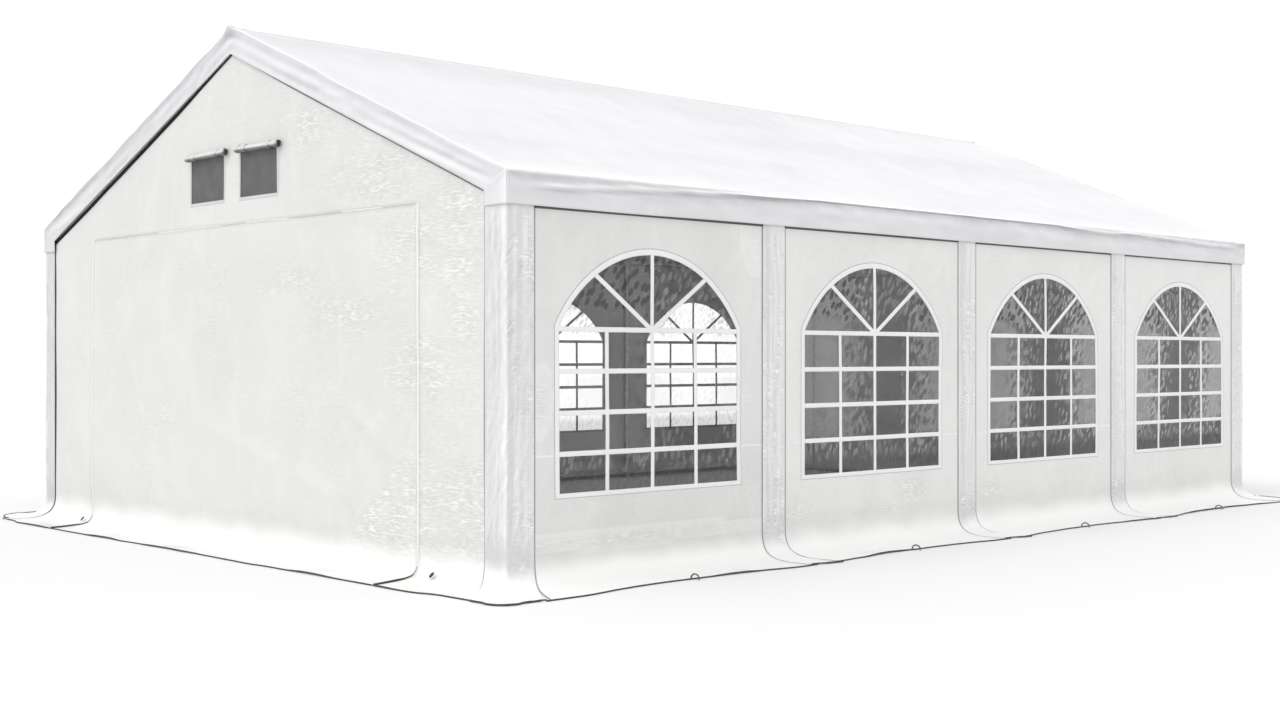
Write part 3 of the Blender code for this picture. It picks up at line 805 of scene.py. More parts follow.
def build_window(side, word, bay):
    """A window: clear film behind the sheet, a white border strip round it, and white bars."""
    centre = BAYS[bay]
    number = bay + 1
    seed = 140 + bay + (4 if side < 0 else 0)

    def bulge(run, height):
        return side_bulge(side, bay, run, height)

    def outline(grow):
        return window_ring(grow, centre)

    half = GLASS_HALF + FILM_LAP
    run = centre + np.linspace(-1.0, 1.0, 57) * half
    top = arch_height(np.clip(run - centre, -GLASS_HALF, GLASS_HALF)) + FILM_LAP
    low = SILL_Z - FILM_LAP
    height = low + np.linspace(0.0, 1.0, 53)[:, None] * (top - low)
    runs = np.repeat(run[None, :], len(height), axis=0)
    dents = 0.0011 * swell(runs, height, 0.055, 0.04, seed)
    dents = dents + 0.0009 * swell(runs + height, height - runs, 0.12, 0.3, seed + 9)
    out = bulge(runs, height) - SHEET - FILM_BACK + dents
    # The film's painted reflection is laid out by distance from its dark middle and height above the sill
    film = grids(
        f"window_clear_{word}_{number}",
        [wall_part(
            "side", side, runs, out, height, sheen=height - SILL_Z, shade=runs - centre - DARK_MIDDLE[bay])],
        FILM, "window_film")
    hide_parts(f"window_film_{word}_{number}")
    top.max() - low
    # Border: its lines go from the glass outwards, the middle a little proud
    lines = (
        (0.0, -0.0016), (0.002, 0.0012), (0.014, 0.0018), (0.026, 0.0014), (BORDER - 0.001, 0.0012),
        (BORDER, 0.0001))
    parts = [ring_part("side", side, outline, lines, bulge, shade=0.0)]
    # Bars and seams: flat strips with rounded edges, from end to end
    edges = np.array((
        (-0.5, -0.0012), (-0.47, 0.0003), (-0.2, 0.0008), (0.2, 0.0008), (0.47, 0.0003), (0.5, -0.0012)))
    spring_z = SPRING_Z - 0.010
    bars = [((x, SILL_Z - 0.01), (x, spring_z)) for x in (-BAR_X, 0.0, BAR_X)]
    bars += [((-GLASS_HALF - 0.01, z), (GLASS_HALF + 0.01, z)) for z in (*BAR_Z, spring_z)]
    bars += [((0.0, spring_z), (0.0, ARCH_Z + 0.01))]
    bars += [((0.0, spring_z), (way * FAN_END[0], FAN_END[1])) for way in (-1.0, 1.0)]
    bars += [((way * (GLASS_HALF + BORDER), SEAM_Z), (way * SEAM_END, SEAM_Z)) for way in (-1.0, 1.0)]
    for start, end in bars:
        seam = start[1] == SEAM_Z
        way = np.array(end) - np.array(start)
        across = np.array((-way[1], way[0])) / np.hypot(*way)
        along = np.array(start) + np.linspace(0.0, 1.0, 25)[:, None, None] * way
        spot = along + edges[None, :, :1] * (SEAM_WIDE if seam else BAR) * across
        run = centre + spot[..., 0]
        height = spot[..., 1]
        out = bulge(run, height) + edges[None, :, 1] - 0.0004
        parts.append(wall_part("side", side, run, out, height, shade=-0.06 if seam else 0.0))
    grids(f"window_bars_{word}_{number}", parts, TRIM_CLOTH, "wall_sheet")
    # A fine dark thread line round the border
    lines = ((BORDER - 0.0005, 0.0006), (BORDER + 0.0035, 0.0006))
    grids(
        f"window_seam_{word}_{number}", [ring_part("side", side, outline, lines, bulge)], SEAM_GREY,
        "wall_sheet")


# Gables

def gable_top(x):
    """Top edge of the gable sheet, under the roof sheet."""
    return RIDGE_Z - GABLE_DROP - SLOPE * np.abs(x)


def gable_bulge(side, x, height):
    """How far a gable stands out: slow swells, drag lines down from the eaves and long folds."""
    mirror = -side * x
    still = ramp(2.54, 2.30, np.abs(x)) * ramp(0.0, 0.22, gable_top(x) - height) * ramp(0.0, 0.3, height)
    out = 0.008 * swell(mirror, height, 0.85, 0.8, 81) + 0.003 * swell(mirror, height, 0.27, 0.33, 82)
    for high, start, end, width in (
            (0.004, (1.0, 1.0), (2.3, 0.25), 0.03), (0.003, (-0.4, 0.75), (1.2, 0.35), 0.04),
            (0.003, (-1.3, 0.6), (-0.3, 0.15), 0.03), (0.003, (0.8, 2.1), (2.2, 1.75), 0.03)):
        out = out + high * fold(mirror, height, start, end, width)
    return out * still


def slit_drift(out):
    """How far the door's slits run to the right across the skirt, as the gable is faced."""
    return 0.27 * np.maximum(out - 0.01, 0.0)


def slit_half(which, out):
    """Half the gap between door and wall on the skirt: it opens outwards, a little unevenly."""
    uneven = 1.0 + 0.6 * swell(out, which, 0.05, 9.0, 95 + which)
    return 0.0012 + 0.0075 * ramp(0.02, SKIRT_REACH, out) * uneven


def near_slits(runs):
    """1 at the door's edges, 0 from 30 cm away."""
    return ramp(DOOR_HALF + 0.30, DOOR_HALF, np.abs(runs)) * ramp(DOOR_HALF - 0.5, DOOR_HALF, np.abs(runs))


def gable_surface(side, runs, out, height):
    """A gable's surface at a place of its flat pattern: bulge above, skirt shape below."""
    inner = ramp(2.42, 2.25, np.abs(runs))
    calm = inner * ramp(0.0, 0.06, np.abs(np.abs(runs) - DOOR_HALF))
    moved, lifted = skirt_shape(runs, out, height, 70 + side, calm, 0.040 * inner)
    return moved + gable_bulge(side, runs, height), np.where(out > 0.0, lifted, height)


def glitter(side, run, height):
    """Where glints are painted on a gable's coating: soft round patches under the right slope and
    toward the right corner, and one that ends on a slanting crease low on the right."""
    x = -side * run
    total = patches(x, height, (
        (0.85, 2.50, 0.40, 0.16, 0.75), (1.50, 2.20, 0.50, 0.20, 0.85), (2.20, 1.80, 0.26, 0.40, 1.0),
        (1.80, 1.72, 0.30, 0.28, 0.95), (0.60, 1.62, 0.40, 0.12, 0.6), (1.15, 1.40, 0.42, 0.15, 0.8),
        (1.90, 1.10, 0.34, 0.24, 1.0), (2.25, 1.30, 0.18, 0.45, 0.7), (-0.90, 0.76, 0.22, 0.12, 0.7),
        (-1.2, 0.42, 0.15, 0.10, 0.5), (0.8, 0.95, 0.5, 0.2, 0.35)))
    edge = (x - 1.06) * 0.47 - (height - 0.02) * 0.46
    low = 0.85 * ramp(0.0, 0.03, edge) * ramp(0.78, 0.55, height) * ramp(0.9, 1.3, x)
    return np.maximum(total, low) * (0.65 + 0.35 * swell(x, height, 0.11, 0.07, 91))


def spread_gable(run, height):
    """Runs and distances out of a gable's grid, and how far each place moves to open the slits."""
    runs = np.repeat(run[None, :], len(height), axis=0)
    out = np.zeros_like(height)
    out[:SKIRT_ROWS] = SKIRT_OUT[:, None]
    way = np.sign(runs)
    return runs, out, way * np.where(way > 0, slit_half(1, out), slit_half(2, out))


def gable_part(side, runs, height, keep=None):
    """A gable sheet from its runs and heights, with bulge and skirt. The skirt's bend is sharp, and
    softer toward the corner covers."""
    cloth = cloth_rows(height)
    soft = ramp(2.05, 2.35, np.abs(runs[:SKIRT_ROWS]))
    out = np.zeros_like(height)
    out[:SKIRT_ROWS] = SHARP_OUT[:, None] + soft * (SKIRT_OUT - SHARP_OUT)[:, None]
    bend = SHARP_Z[:, None] + soft * (SKIRT_Z - SHARP_Z)[:, None]
    height = np.concatenate([bend, height[SKIRT_ROWS:]])
    sheen = glitter(side, runs, height)
    moved_runs = runs - side * slit_drift(out) * near_slits(runs)
    out, height = gable_surface(side, runs, out, height)
    points = wall_point("gable", side, moved_runs, out, height)
    return part(points, np.stack([runs, cloth], axis=-1), (0.0, side, 0.2), keep, sheen)


def build_gable(side, word):
    """A gable: the sheet round the door and the vents' holes, and the door with its zips."""
    edge = WALL_X - CORNER_GAP
    # Sheet round the door. Above the door, rows pass through the vents' sills and heads.
    ends = (-edge, -DOOR_HALF, -VENT_X - VENT_HALF, VENT_HALF - VENT_X, VENT_X - VENT_HALF,
            VENT_X + VENT_HALF, DOOR_HALF, edge)
    run = steps(*zip(ends[:-1], ends[1:], (18, 32, 10, 6, 10, 32, 18)))
    top = gable_top(run)
    sill = np.minimum(VENT_LOW, DOOR_TOP + 0.3 * (top - DOOR_TOP))
    head = np.minimum(VENT_HIGH, DOOR_TOP + 0.7 * (top - DOOR_TOP))
    lower = np.concatenate([SKIRT_Z, np.linspace(BEND_Z, DOOR_TOP, 52)[1:]])
    rows = [np.repeat(lower[:, None], len(run), axis=1)]
    for start, end, count in ((np.full(len(run), DOOR_TOP), sill, 6), (sill, head, 9), (head, top, 18)):
        rows.append(start + np.linspace(0.0, 1.0, count + 1)[1:, None] * (end - start))
    height = np.concatenate(rows)
    runs, out, slit = spread_gable(run, height)
    beside = (np.abs(runs) >= DOOR_HALF - 1e-6) & (height < DOOR_TOP - 1e-6)
    runs = runs + slit * beside * ramp(DOOR_HALF + 0.12, DOOR_HALF, np.abs(runs))
    way = np.sign(runs)
    flare = np.where(side * way < 0.0, GABLE_FLARE[0], GABLE_FLARE[1])
    runs = runs + way * flare * out * ramp(edge - 0.35, edge, np.abs(runs))
    keep = np.ones((len(height) - 1, len(run) - 1), bool)
    mid = np.abs(run[:-1] + run[1:]) / 2.0
    keep[:len(lower) - 1, mid < DOOR_HALF] = False
    first = len(lower) - 1 + 6
    keep[first:first + 9, np.abs(mid - VENT_X) < VENT_HALF] = False
    sheet = gable_part(side, runs, height, keep)
    wall = grids(f"gable_sheet_{word}", [sheet], GABLE_CLOTH, "wall_sheet", SHEET)
    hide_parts(f"gable_wall_{word}")
    for way, columns in ((-1, slice(0, 19)), (1, slice(-19, None))):
        hem = sheet[0][0, columns]
        limit = WALL_X - gable_wing(way, side) + gable_lean(way, side) * SKIRT_REACH
        # The painted shadow cord runs on under the wide wing and ends short of the drawn-in corner
        limit += 0.06 if side * way < 0 else -0.045
        add_skirt_shadow_cord(word, hem[np.abs(hem[:, 0]) < limit])
    # Door
    run = np.linspace(-DOOR_HALF, DOOR_HALF, 121)
    lower = np.concatenate([SKIRT_Z, np.linspace(BEND_Z, DOOR_TOP - 0.0006, 52)[1:]])
    height = np.repeat(lower[:, None], len(run), axis=1)
    runs, out, slit = spread_gable(run, height)
    sheet = gable_part(side, runs - slit * ramp(DOOR_HALF - 0.12, DOOR_HALF, np.abs(runs)), height)
    door = grids(f"door_sheet_{word}", [sheet], GABLE_CLOTH, "wall_sheet", SHEET)
    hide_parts(f"gable_door_{word}")
    add_skirt_shadow_cord(word, sheet[0][0])
    trim = build_zips(side, word)


def build_zips(side, word):
    """Zip tapes up both sides of the door, a little kinked, and the seam along its top."""
    parts = []
    edges = np.array(((-0.5, -0.0010), (-0.44, 0.0004), (0.0, 0.0007), (0.44, 0.0004), (0.5, -0.0010)))
    height = np.concatenate([SHARP_Z[10:], np.linspace(BEND_Z, DOOR_TOP, 70)[1:]])[:, None]
    for way in (-1.0, 1.0):
        out = np.concatenate([SHARP_OUT[10:], np.zeros(69)])[:, None]
        kink = 0.0035 * swell(height, 0.0, 0.16, 1.0, 33 + int(way)) * ramp(0.1, 0.3, height)
        run = way * DOOR_HALF - side * slit_drift(out) + kink + edges[None, :, 0] * ZIP_WIDE
        out = out + gable_bulge(side, run, height) + edges[None, :, 1]
        parts.append(wall_part("gable", side, run, out, height + 0.001, height, 0.2, shade=0.0))
    run = np.linspace(-DOOR_HALF - 0.008, DOOR_HALF + 0.008, 121)[None, :]
    height = DOOR_TOP + 0.004 + edges[:, :1] * DOOR_SEAM_WIDE + 0.002 * swell(run, 0.0, 0.3, 1.0, 35)
    sunk = 0.0012 * ramp(0.1, -0.5, swell(-side * run, 0.0, 0.34, 1.0, 37))
    out = gable_bulge(side, run, height) + edges[:, 1:] - sunk
    parts.append(wall_part("gable", side, run, out, height, up=0.2, shade=0.0))
    return grids(f"door_zips_{word}", parts, TRIM_CLOTH, "wall_sheet")


def build_slit_shadow_cords(side, word):
    """Dark cords along each slit from the zip's foot out to the skirt's edge, thicker outwards:
    painted shadow in the slit.
    """
    parts = []
    bend = SHARP_Z[::-1] < 0.065
    for way in (-1.0, 1.0):
        out = np.concatenate([SHARP_OUT[::-1][bend][:-5], np.linspace(0.24, SKIRT_REACH + 0.038, 14)])
        height = np.concatenate([SHARP_Z[::-1][bend][:-5], np.full(14, GROUND_GAP)])
        radius = 0.0022 + 0.0034 * ramp(0.0, 0.2, out)
        run = way * DOOR_HALF - side * slit_drift(out) + 0.006 * swell(out, 0.0, 0.08, 1.0, 38)
        parts.append(tube(wall_point("gable", side, run, out, height + radius), radius, 8, SHADOW_CORD_LEVEL))
    grids(f"painted_slit_shadow_{word}", parts, PAINTED_SHADOW_LINES, "wall_sheet")


def vent_ring(grow, x):
    """The outline of a vent, grown by so much at the sill and by half of that elsewhere."""
    half = VENT_HALF + 0.5 * grow
    low = VENT_LOW - grow
    high = VENT_HIGH + 0.5 * grow
    t = np.linspace(0.0, 1.0, 13)[:-1]
    run = [x - half + 2 * half * t, np.full(12, x + half), x + half - 2 * half * t, np.full(13, x - half)]
    height = [np.full(12, low), low + (high - low) * t, np.full(12, high), high - (high - low) * t, [low]]
    return np.concatenate(run), np.concatenate(height)


def build_vents(side, word):
    """Two vents in a gable: mesh behind the hole, a pale frame strip, and the flap rolled up above."""
    meshes = []
    for number, x in ((1, -VENT_X), (2, VENT_X)):
        run = np.linspace(x - VENT_HALF - VENT_LAP, x + VENT_HALF + VENT_LAP, 25)[None, :]
        height = np.linspace(VENT_LOW - VENT_LAP, VENT_HIGH + VENT_LAP, 17)[:, None]
        dents = 0.0015 * swell(run, height, 0.09, 0.12, 50 + number)
        out = gable_bulge(side, run, height) - SHEET - VENT_BACK + dents
        meshes.append(wall_part("gable", side, run, out, height))
        lines = ((-0.001, -0.001), (0.001, 0.0012), (0.011, 0.0018), (0.021, 0.0012), (0.0225, -0.0006))
        ring = ring_part(
            "gable", side, lambda grow: vent_ring(grow, x), lines,
            lambda run, height: gable_bulge(side, run, height), shade=-0.20)
        grids(f"vent_frame_{word}_{number}", [ring], GABLE_CLOTH, "wall_sheet")
        build_flap(side, word, number, x)
    mesh = grids(f"vent_screen_{word}", meshes, VENT_THREADS, "vent_mesh")
    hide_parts(f"vent_mesh_{word}")


def flap_shade(turn, along):
    """Painted shade of a rolled flap: its underside is dark, its top and its ends a little darker."""
    under = -1.15 * ramp(-0.05, -0.6, np.cos(turn)) - 0.25 * ramp(0.85, 1.0, np.cos(turn))
    return under - 0.45 * ramp(0.965, 1.0, np.abs(along))


def build_flap(side, word, number, x):
    """A vent's flap, rolled: a spiral whose radius grows evenly with its angle. Four broad cuffs
    hold it, and its rod shows at one end."""
    node_number = number if side < 0 else 3 - number
    tilt = 0.003 * (1 if number == 1 else -1)
    roll_z = VENT_HIGH + FLAP_UP
    roll_out = FLAP_OUT + float(gable_bulge(side, np.array(x), np.array(roll_z)))
    x = x - FLAP_SHIFT * side
    angle = np.linspace(0.0, FLAP_TURNS * 2.0 * math.pi, 60)
    radius = FLAP_INNER + FLAP_GROWTH * angle / angle[-1]
    length = float(np.hypot(np.diff(radius), radius[1:] * np.diff(angle)).sum())
    along = np.linspace(-1.0, 1.0, 41)[:, None]
    turn = (angle + 1.0)[None, :]
    wobble = 1.0 + 0.06 * swell(along * 0.3, angle[None, :] * 0.1, 0.07, 0.3, 120 + number)
    roll = wall_part(
        "gable", side, x + along * FLAP_HALF, roll_out + wobble * radius * np.sin(turn),
        roll_z + wobble * radius * np.cos(turn) + tilt * along, np.linspace(0.0, length, 60), facing="out",
        shade=flap_shade(turn, along))
    flap = grids(f"vent_roll_{word}_{number}", [roll], GABLE_CLOTH, "wall_sheet", 0.0008)
    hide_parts(f"vent_flap_{word}_{node_number}")
    parts = []
    turn = np.linspace(0.0, 2.0 * math.pi, 33)[None, :]
    band = np.array(((-0.021, 0.0200), (-0.016, 0.0232), (0.0, 0.0240), (0.016, 0.0232), (0.021, 0.0200)))
    # The cuffs take the flap's painted shade and are painted darker at their edges
    rim = flap_shade(turn, 0.0) - 0.3 * ramp(0.012, 0.021, np.abs(band[:, :1]))
    for along in CUFFS:
        parts.append(wall_part(
            "gable", side, x + along * FLAP_HALF + band[:, :1], roll_out + band[:, 1:] * np.sin(turn),
            roll_z + band[:, 1:] * np.cos(turn) + tilt * along, facing="out", shade=rim))
    cuffs = grids(f"vent_cuffs_{word}_{number}", parts, GABLE_CLOTH, "wall_sheet")
    rod_run = x - side * (FLAP_HALF + np.array((-0.06, -0.02, 0.0, 0.010)))
    rod = wall_point("gable", side, rod_run, roll_out, roll_z + 0.004)
    grids(f"vent_rod_{word}_{number}", [tube(rod, FLAP_INNER, 14)], DARK_TRIM, "wall_sheet")


def build_eyelets(side, word):
    """An eyelet on the skirt's bend outside each door slit: a dark upright oval with a low rim."""
    parts = []
    band = np.array(((0.0002, 0.0010), (0.0085, 0.0010), (0.0092, 0.0020), (0.0112, 0.0004)))
    turn = np.linspace(0.0, 2.0 * math.pi, 25)
    slide = 1.7 * band[:, :1] * np.sin(turn) / math.sqrt(2.0)
    for x in EYELETS:
        run = -side * x + 1.25 * band[:, :1] * np.cos(turn)
        parts.append(wall_part(
            "gable", side, run, 0.050 - slide + band[:, 1:], 0.037 + slide + band[:, 1:], up=1.0))
    grids(f"eyelets_{word}", parts, DARK_TRIM, "wall_sheet")


# Covers

COVER_OUT = np.concatenate([SKIRT_OUT, np.zeros(60)])[:, None]
COVER_Z = np.concatenate([SKIRT_Z, np.linspace(BEND_Z, COVER_TOP, 61)[1:]])[:, None]


def cover_normals():
    """Direction away from the cloth below, for each row of a cover."""
    step_out = np.gradient(COVER_OUT, axis=0)
    step_z = np.gradient(COVER_Z, axis=0)
    size = np.hypot(step_out, step_z)
    return step_z / size, -step_out / size


NORMAL_OUT, NORMAL_UP = cover_normals()


def cover_run(number, place, out):
    """Run along the wall of a middle cover's line: straight up the post, and spread at the foot."""
    return POSTS[number] + 0.02 + place * (COVER_HALF + 0.05 * out) + 0.13 * np.maximum(out - 0.04, 0.0)


def gable_wing(side, end):
    """Width of a corner cover's wing on the gable: narrower on the left as each gable is faced."""
    return GABLE_WING if side * end < 0 else GABLE_WING - NARROWER


def gable_lean(side, end):
    """How far a corner cover's edge on the gable leans outwards across the skirt."""
    return GABLE_LEAN[0] if side * end < 0 else GABLE_LEAN[1]


def pleats(place, height, seed):
    """Standing folds of a cover: narrow upright swells that wander slowly up the post, and slanting
    creases. They fade out under the roof's valance."""
    drift = 0.02 * swell(height, 0.0, 0.5, 1.0, seed)
    fine = 0.0013 * swell(place + drift, height, 0.016, 0.30, seed + 1)
    broad = 0.0024 * swell(place + drift, height, 0.045, 0.7, seed + 2)
    slant = place + 0.45 * height + 0.02 * swell(height, place, 0.2, 0.2, seed + 3)
    nicks = 0.0011 * swell(slant, height, 0.022, 0.12, seed + 4)
    return (fine + broad + nicks) * ramp(1.96, 1.86, height)


def cover_lift(edge, place, seed):
    """How far a cover stands off the wall: 1 cm within its first centimetre, then nearly even."""
    fullness = (1.0 - edge ** 7) * (0.30 + 0.70 * ramp(0.02, 0.3, COVER_Z))
    return COVER_GAP + COVER_RISE * fullness + fullness * pleats(place, COVER_Z, seed)


def cover_glints(place, seed):
    """Where glints are painted on a cover: small upright patches."""
    return 0.75 * ramp(-0.1, 0.7, swell(place, COVER_Z, 0.03, 0.11, seed + 7))


def build_mid_cover(side, word, number):
    """The cover over a post between two bays. At its foot it spreads over the skirt, further at one
    corner than at the other."""
    seed = 200 + 10 * number + (5 if side < 0 else 0)
    place = np.concatenate([[-1.0, -0.985, -0.95], np.linspace(-0.88, 0.88, 27), [0.95, 0.985, 1.0]])[None, :]
    run = cover_run(number, place, COVER_OUT) + 0.0012 * swell(COVER_Z, 0.0, 0.4, 1.0, seed)
    lift = cover_lift(np.abs(place), place * COVER_HALF, seed)
    spread_out = 0.034 + 0.020 * place + 0.008 * swell(place, 0.0, 0.6, 1.0, seed + 5)
    foot = ramp(0.12, SKIRT_REACH, COVER_OUT) * spread_out
    points = wall_point("side", side, run, COVER_OUT + foot + NORMAL_OUT * lift, COVER_Z + NORMAL_UP * lift)
    uv = np.stack([run, lengths(points, 0)], axis=-1)
    cover = grids(
        f"cover_{word}_{number + 1}", [part(points, uv, (side, 0.0, 0.2), sheen=cover_glints(run, seed))],
        COVER_CLOTH, "cover_sheet", SHEET)
    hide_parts(f"post_cover_{word}_{number + 1}")
    add_skirt_shadow_cord(word, points[0])


def build_corner_cover(side, end, word):
    """The cover round a corner post. Each row goes along the window wall, round the corner on a
    quadratic Bezier curve and along the gable. The corner's curve is wider at the foot, and both
    wings lean toward the corner there. On the left of each gable the corner is drawn in."""
    seed = 260 + (side + 1) * 4 + (end + 1) * 9
    out = COVER_OUT
    side_span = SIDE_WING + out * (1.0 - SIDE_LEAN)
    gable_span = gable_wing(side, end) + out * (1.0 - gable_lean(side, end))
    pulled = 1.0 if side * end > 0 else 0.0
    turn = 0.016 + (0.10 + 0.12 * pulled) * ramp(0.05, 0.3, out)
    wing = np.concatenate([[1.0, 0.985, 0.95], np.linspace(0.9, 0.0, 22)])[None, :]
    bend = np.linspace(0.0, 1.0, 13)[None, 1:-1]
    # Distance from the corner along each wing, and how far round the corner
    none = np.zeros((len(out), wing.shape[1]))
    from_side = np.concatenate([turn + (side_span - turn) * wing, turn * (1.0 - bend) ** 2, none], axis=1)
    from_gable = np.concatenate([none, turn * bend ** 2, turn + (gable_span - turn) * wing[:, ::-1]], axis=1)
    edge = np.concatenate([wing, np.zeros_like(bend), wing[:, ::-1]], axis=1)
    place = from_gable - from_side
    lift = cover_lift(edge, place, seed)
    angle = np.clip((place / np.maximum(turn, 1e-6) + 1.0) / 2.0, 0.0, 1.0) * math.pi / 2.0
    rise = np.maximum(COVER_Z + NORMAL_UP * lift, GROUND_GAP)
    foot = ramp(0.12, SKIRT_REACH, out) * (0.012 + 0.012 * ramp(0.1, 0.0, edge))
    drawn_in = DRAWN_IN * pulled * ramp(0.10, SKIRT_REACH, out) * np.exp(-((place - 0.10) / 0.34) ** 2)
    # Each wing's own face keeps its distance out from the wall; the corner is rounded between them
    x = WALL_X + out - from_gable + NORMAL_OUT * lift * np.cos(angle) ** 0.5 + foot
    x = x - drawn_in * (1.0 - edge ** 6 * (place < 0.0))
    y = WALL_Y + out - from_side + NORMAL_OUT * lift * np.sin(angle) ** 0.5 + foot
    y = y - drawn_in * (1.0 - edge ** 2)
    points = np.stack([side * x, end * y, rise], axis=-1)
    uv = np.stack([place, lengths(points, 0)], axis=-1)
    # Painted glints on the window wall's wing; the gable wing is painted darker as shade, more so where the
    # corner is drawn in
    sheen = cover_glints(place, seed) * ramp(0.05, -0.02, place)
    sheen = sheen - (0.07 + 0.08 * pulled) * ramp(-0.01, 0.02, place)
    cover = grids(
        f"cover_{word}", [part(points, uv, (side, end, 0.3), sheen=sheen)], COVER_CLOTH, "cover_sheet", SHEET)
    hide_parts(f"corner_cover_{word}")
    add_skirt_shadow_cord("front" if end < 0 else "back", points[0])


def shadow_strip_part(wall, side, run, surface, shade):
    """A thin dark ribbon beside a cover, just off the sheet, from the skirt's edge up the wall: painted
    shadow where the cover stands off the wall.
    """
    run, out, height = np.broadcast_arrays(run, COVER_OUT, COVER_Z)
    on_out, on_z = surface(run, out, height)
    return wall_part(
        wall, side, run, on_out + SHADOW_STRIP_RISE * NORMAL_OUT, on_z + SHADOW_STRIP_RISE * NORMAL_UP, height, 0.2,
        shade=shade)


def build_side_shadow_strips(side, word):
    """Painted shadow lines on a window wall: dark ribbons beside the covers and under the valance."""
    corner = WALL_Y - SIDE_WING + SIDE_LEAN * COVER_OUT
    edges = [(cover_run(number, way, COVER_OUT), way, number) for number in (1, 2, 3) for way in (-1.0, 1.0)]
    parts = []
    for run, way, number in edges + [(-corner, 1.0, 0), (corner, -1.0, 4)]:
        bay = min(max(number - (1 if way < 0 else 0), 0), 3)
        parts.append(shadow_strip_part(
            "side", side, run + way * np.array((-0.006, 0.0, 0.009)),
            lambda run, out, height: side_surface(side, bay, run, out, height), 0.33))
    run = np.linspace(-VALANCE_SHADOW_Y, VALANCE_SHADOW_Y, 241)[None, :]
    height = np.array(VALANCE_SHADOW_Z)[:, None]
    parts.append(wall_part("side", side, run, SHADOW_STRIP_RISE, height, shade=0.12))
    grids(f"painted_shadow_strip_{word}", parts, PAINTED_SHADOW_LINES, "wall_sheet")


def build_gable_shadow_strips(end, word):
    """Painted shadow lines on a gable: dark ribbons up each corner cover's edge, and along the roof
    sheet's mouth, where they are wider under one slope."""
    parts = []
    for way in (-1.0, 1.0):
        first = -end * way > 0.0
        wide, light = (0.008, 0.36) if first else (0.016, 0.03)
        edge = WALL_X - gable_wing(way, end) + gable_lean(way, end) * COVER_OUT
        parts.append(shadow_strip_part(
            "gable", end, way * (edge + np.array((0.006, 0.0, -wide))),
            lambda run, out, height: gable_surface(end, run, out, height),
            light + 0.5 * ramp(0.02, 0.16, COVER_OUT)))
        wide, light = (0.013, 0.16) if first else (0.026, 0.008)
        x = np.linspace(0.0, MOUTH_X + 0.012, 81)[None, :]
        down = np.array(((-0.006,), (0.0,), (1.0,)))
        drop = np.where(down > 0.0, wide * (0.35 + 0.65 * ramp(-0.1, 0.8, x)), down)
        height = MOUTH_APEX_Z - MOUTH_DROP * x / MOUTH_X - drop
        out = gable_bulge(end, way * x, height) + 0.0009
        parts.append(wall_part("gable", end, way * x, out, height, shade=light))
    grids(f"painted_shadow_strip_{word}", parts, PAINTED_SHADOW_LINES, "wall_sheet")


# Roof

def roof_outline():
    """The roof's section from hem to hem: upright valance, an arc over the eave, the straight
    slope, a parabola over the ridge, and the same again on the other side."""
    angle = math.atan(SLOPE)
    start_z = EAVE_Z - EAVE_RADIUS * math.tan((math.pi / 2.0 - angle) / 2.0)
    turn = np.linspace(0.0, math.pi / 2.0 - angle, 9)
    arc_x = ROOF_X - EAVE_RADIUS + EAVE_RADIUS * np.cos(turn)
    top_x = np.concatenate([np.linspace(arc_x[-1], RIDGE_HALF, 50)[1:], np.linspace(RIDGE_HALF, 0.0, 5)[1:]])
    x = np.concatenate([np.full(11, ROOF_X), arc_x, top_x])
    z = np.concatenate([
        np.linspace(VALANCE_Z, start_z, 12)[:-1], start_z + EAVE_RADIUS * np.sin(turn),
        RIDGE_Z - SLOPE * top_x])
    z = z - np.where(x < RIDGE_HALF, SLOPE * (RIDGE_HALF - x) ** 2 / (2.0 * RIDGE_HALF), 0.0)
    return np.concatenate([x, -x[-2::-1]]), np.concatenate([z, z[-2::-1]])


def roof_frame():
    """The roof sheet before its folds. Along Y each row is the section; at both ends the sheet
    folds down over the edge and goes straight to the mouth's outline, a share of the way each row.
    Returns the places, how far down the end faces each is, and how far across the section."""
    x, z = roof_outline()
    on_valance = (z < EAVE_Z - 0.02) & (np.abs(x) > ROOF_X - 0.001)
    mouth_x = np.sign(x) * np.where(on_valance, MOUTH_X, np.abs(x) * MOUTH_X / ROOF_X)
    share = (z - VALANCE_Z) / (z[on_valance].max() - VALANCE_Z)
    mouth_z = np.where(
        on_valance, VALANCE_Z + share * (MOUTH_EAVE_Z - VALANCE_Z),
        MOUTH_APEX_Z - MOUTH_DROP * np.abs(mouth_x) / MOUTH_X)
    inner = ROOF_Y - END_RADIUS
    main = steps((-inner, -3.4, 34), (-3.4, 3.4, 130), (3.4, inner, 34))
    # Fold and end faces
    turn = np.linspace(0.0, math.pi / 2.0, 6)[1:]
    width = np.hypot(mouth_x - x, mouth_z - z)
    down = np.concatenate([END_RADIUS * (1.0 - np.cos(turn)), np.zeros(12)])[:, None]
    shares = np.concatenate([np.zeros(5), np.linspace(0.0, 1.0, 13)[1:]])[:, None]
    drop = down * (shares == 0.0) + np.where(shares > 0.0, END_RADIUS + shares * (width - END_RADIUS), 0.0)
    face_x = x + (mouth_x - x) / width * drop
    face_z = z + (mouth_z - z) / width * drop
    face_y = np.concatenate([inner + END_RADIUS * np.sin(turn), np.full(12, ROOF_Y)])
    flat = np.zeros((len(main), len(x)))
    all_x = np.concatenate([face_x[::-1], flat + x, face_x])
    all_z = np.concatenate([face_z[::-1], flat + z, face_z])
    all_y = np.concatenate([-face_y[::-1], main, face_y])[:, None] + 0.0 * all_x
    across = np.cumsum(np.concatenate([[0.0], np.hypot(np.diff(x), np.diff(z))]))
    across = np.broadcast_to(across - across[len(across) // 2], all_x.shape)
    return all_x, all_y, all_z, np.concatenate([drop[::-1], flat, drop]), across


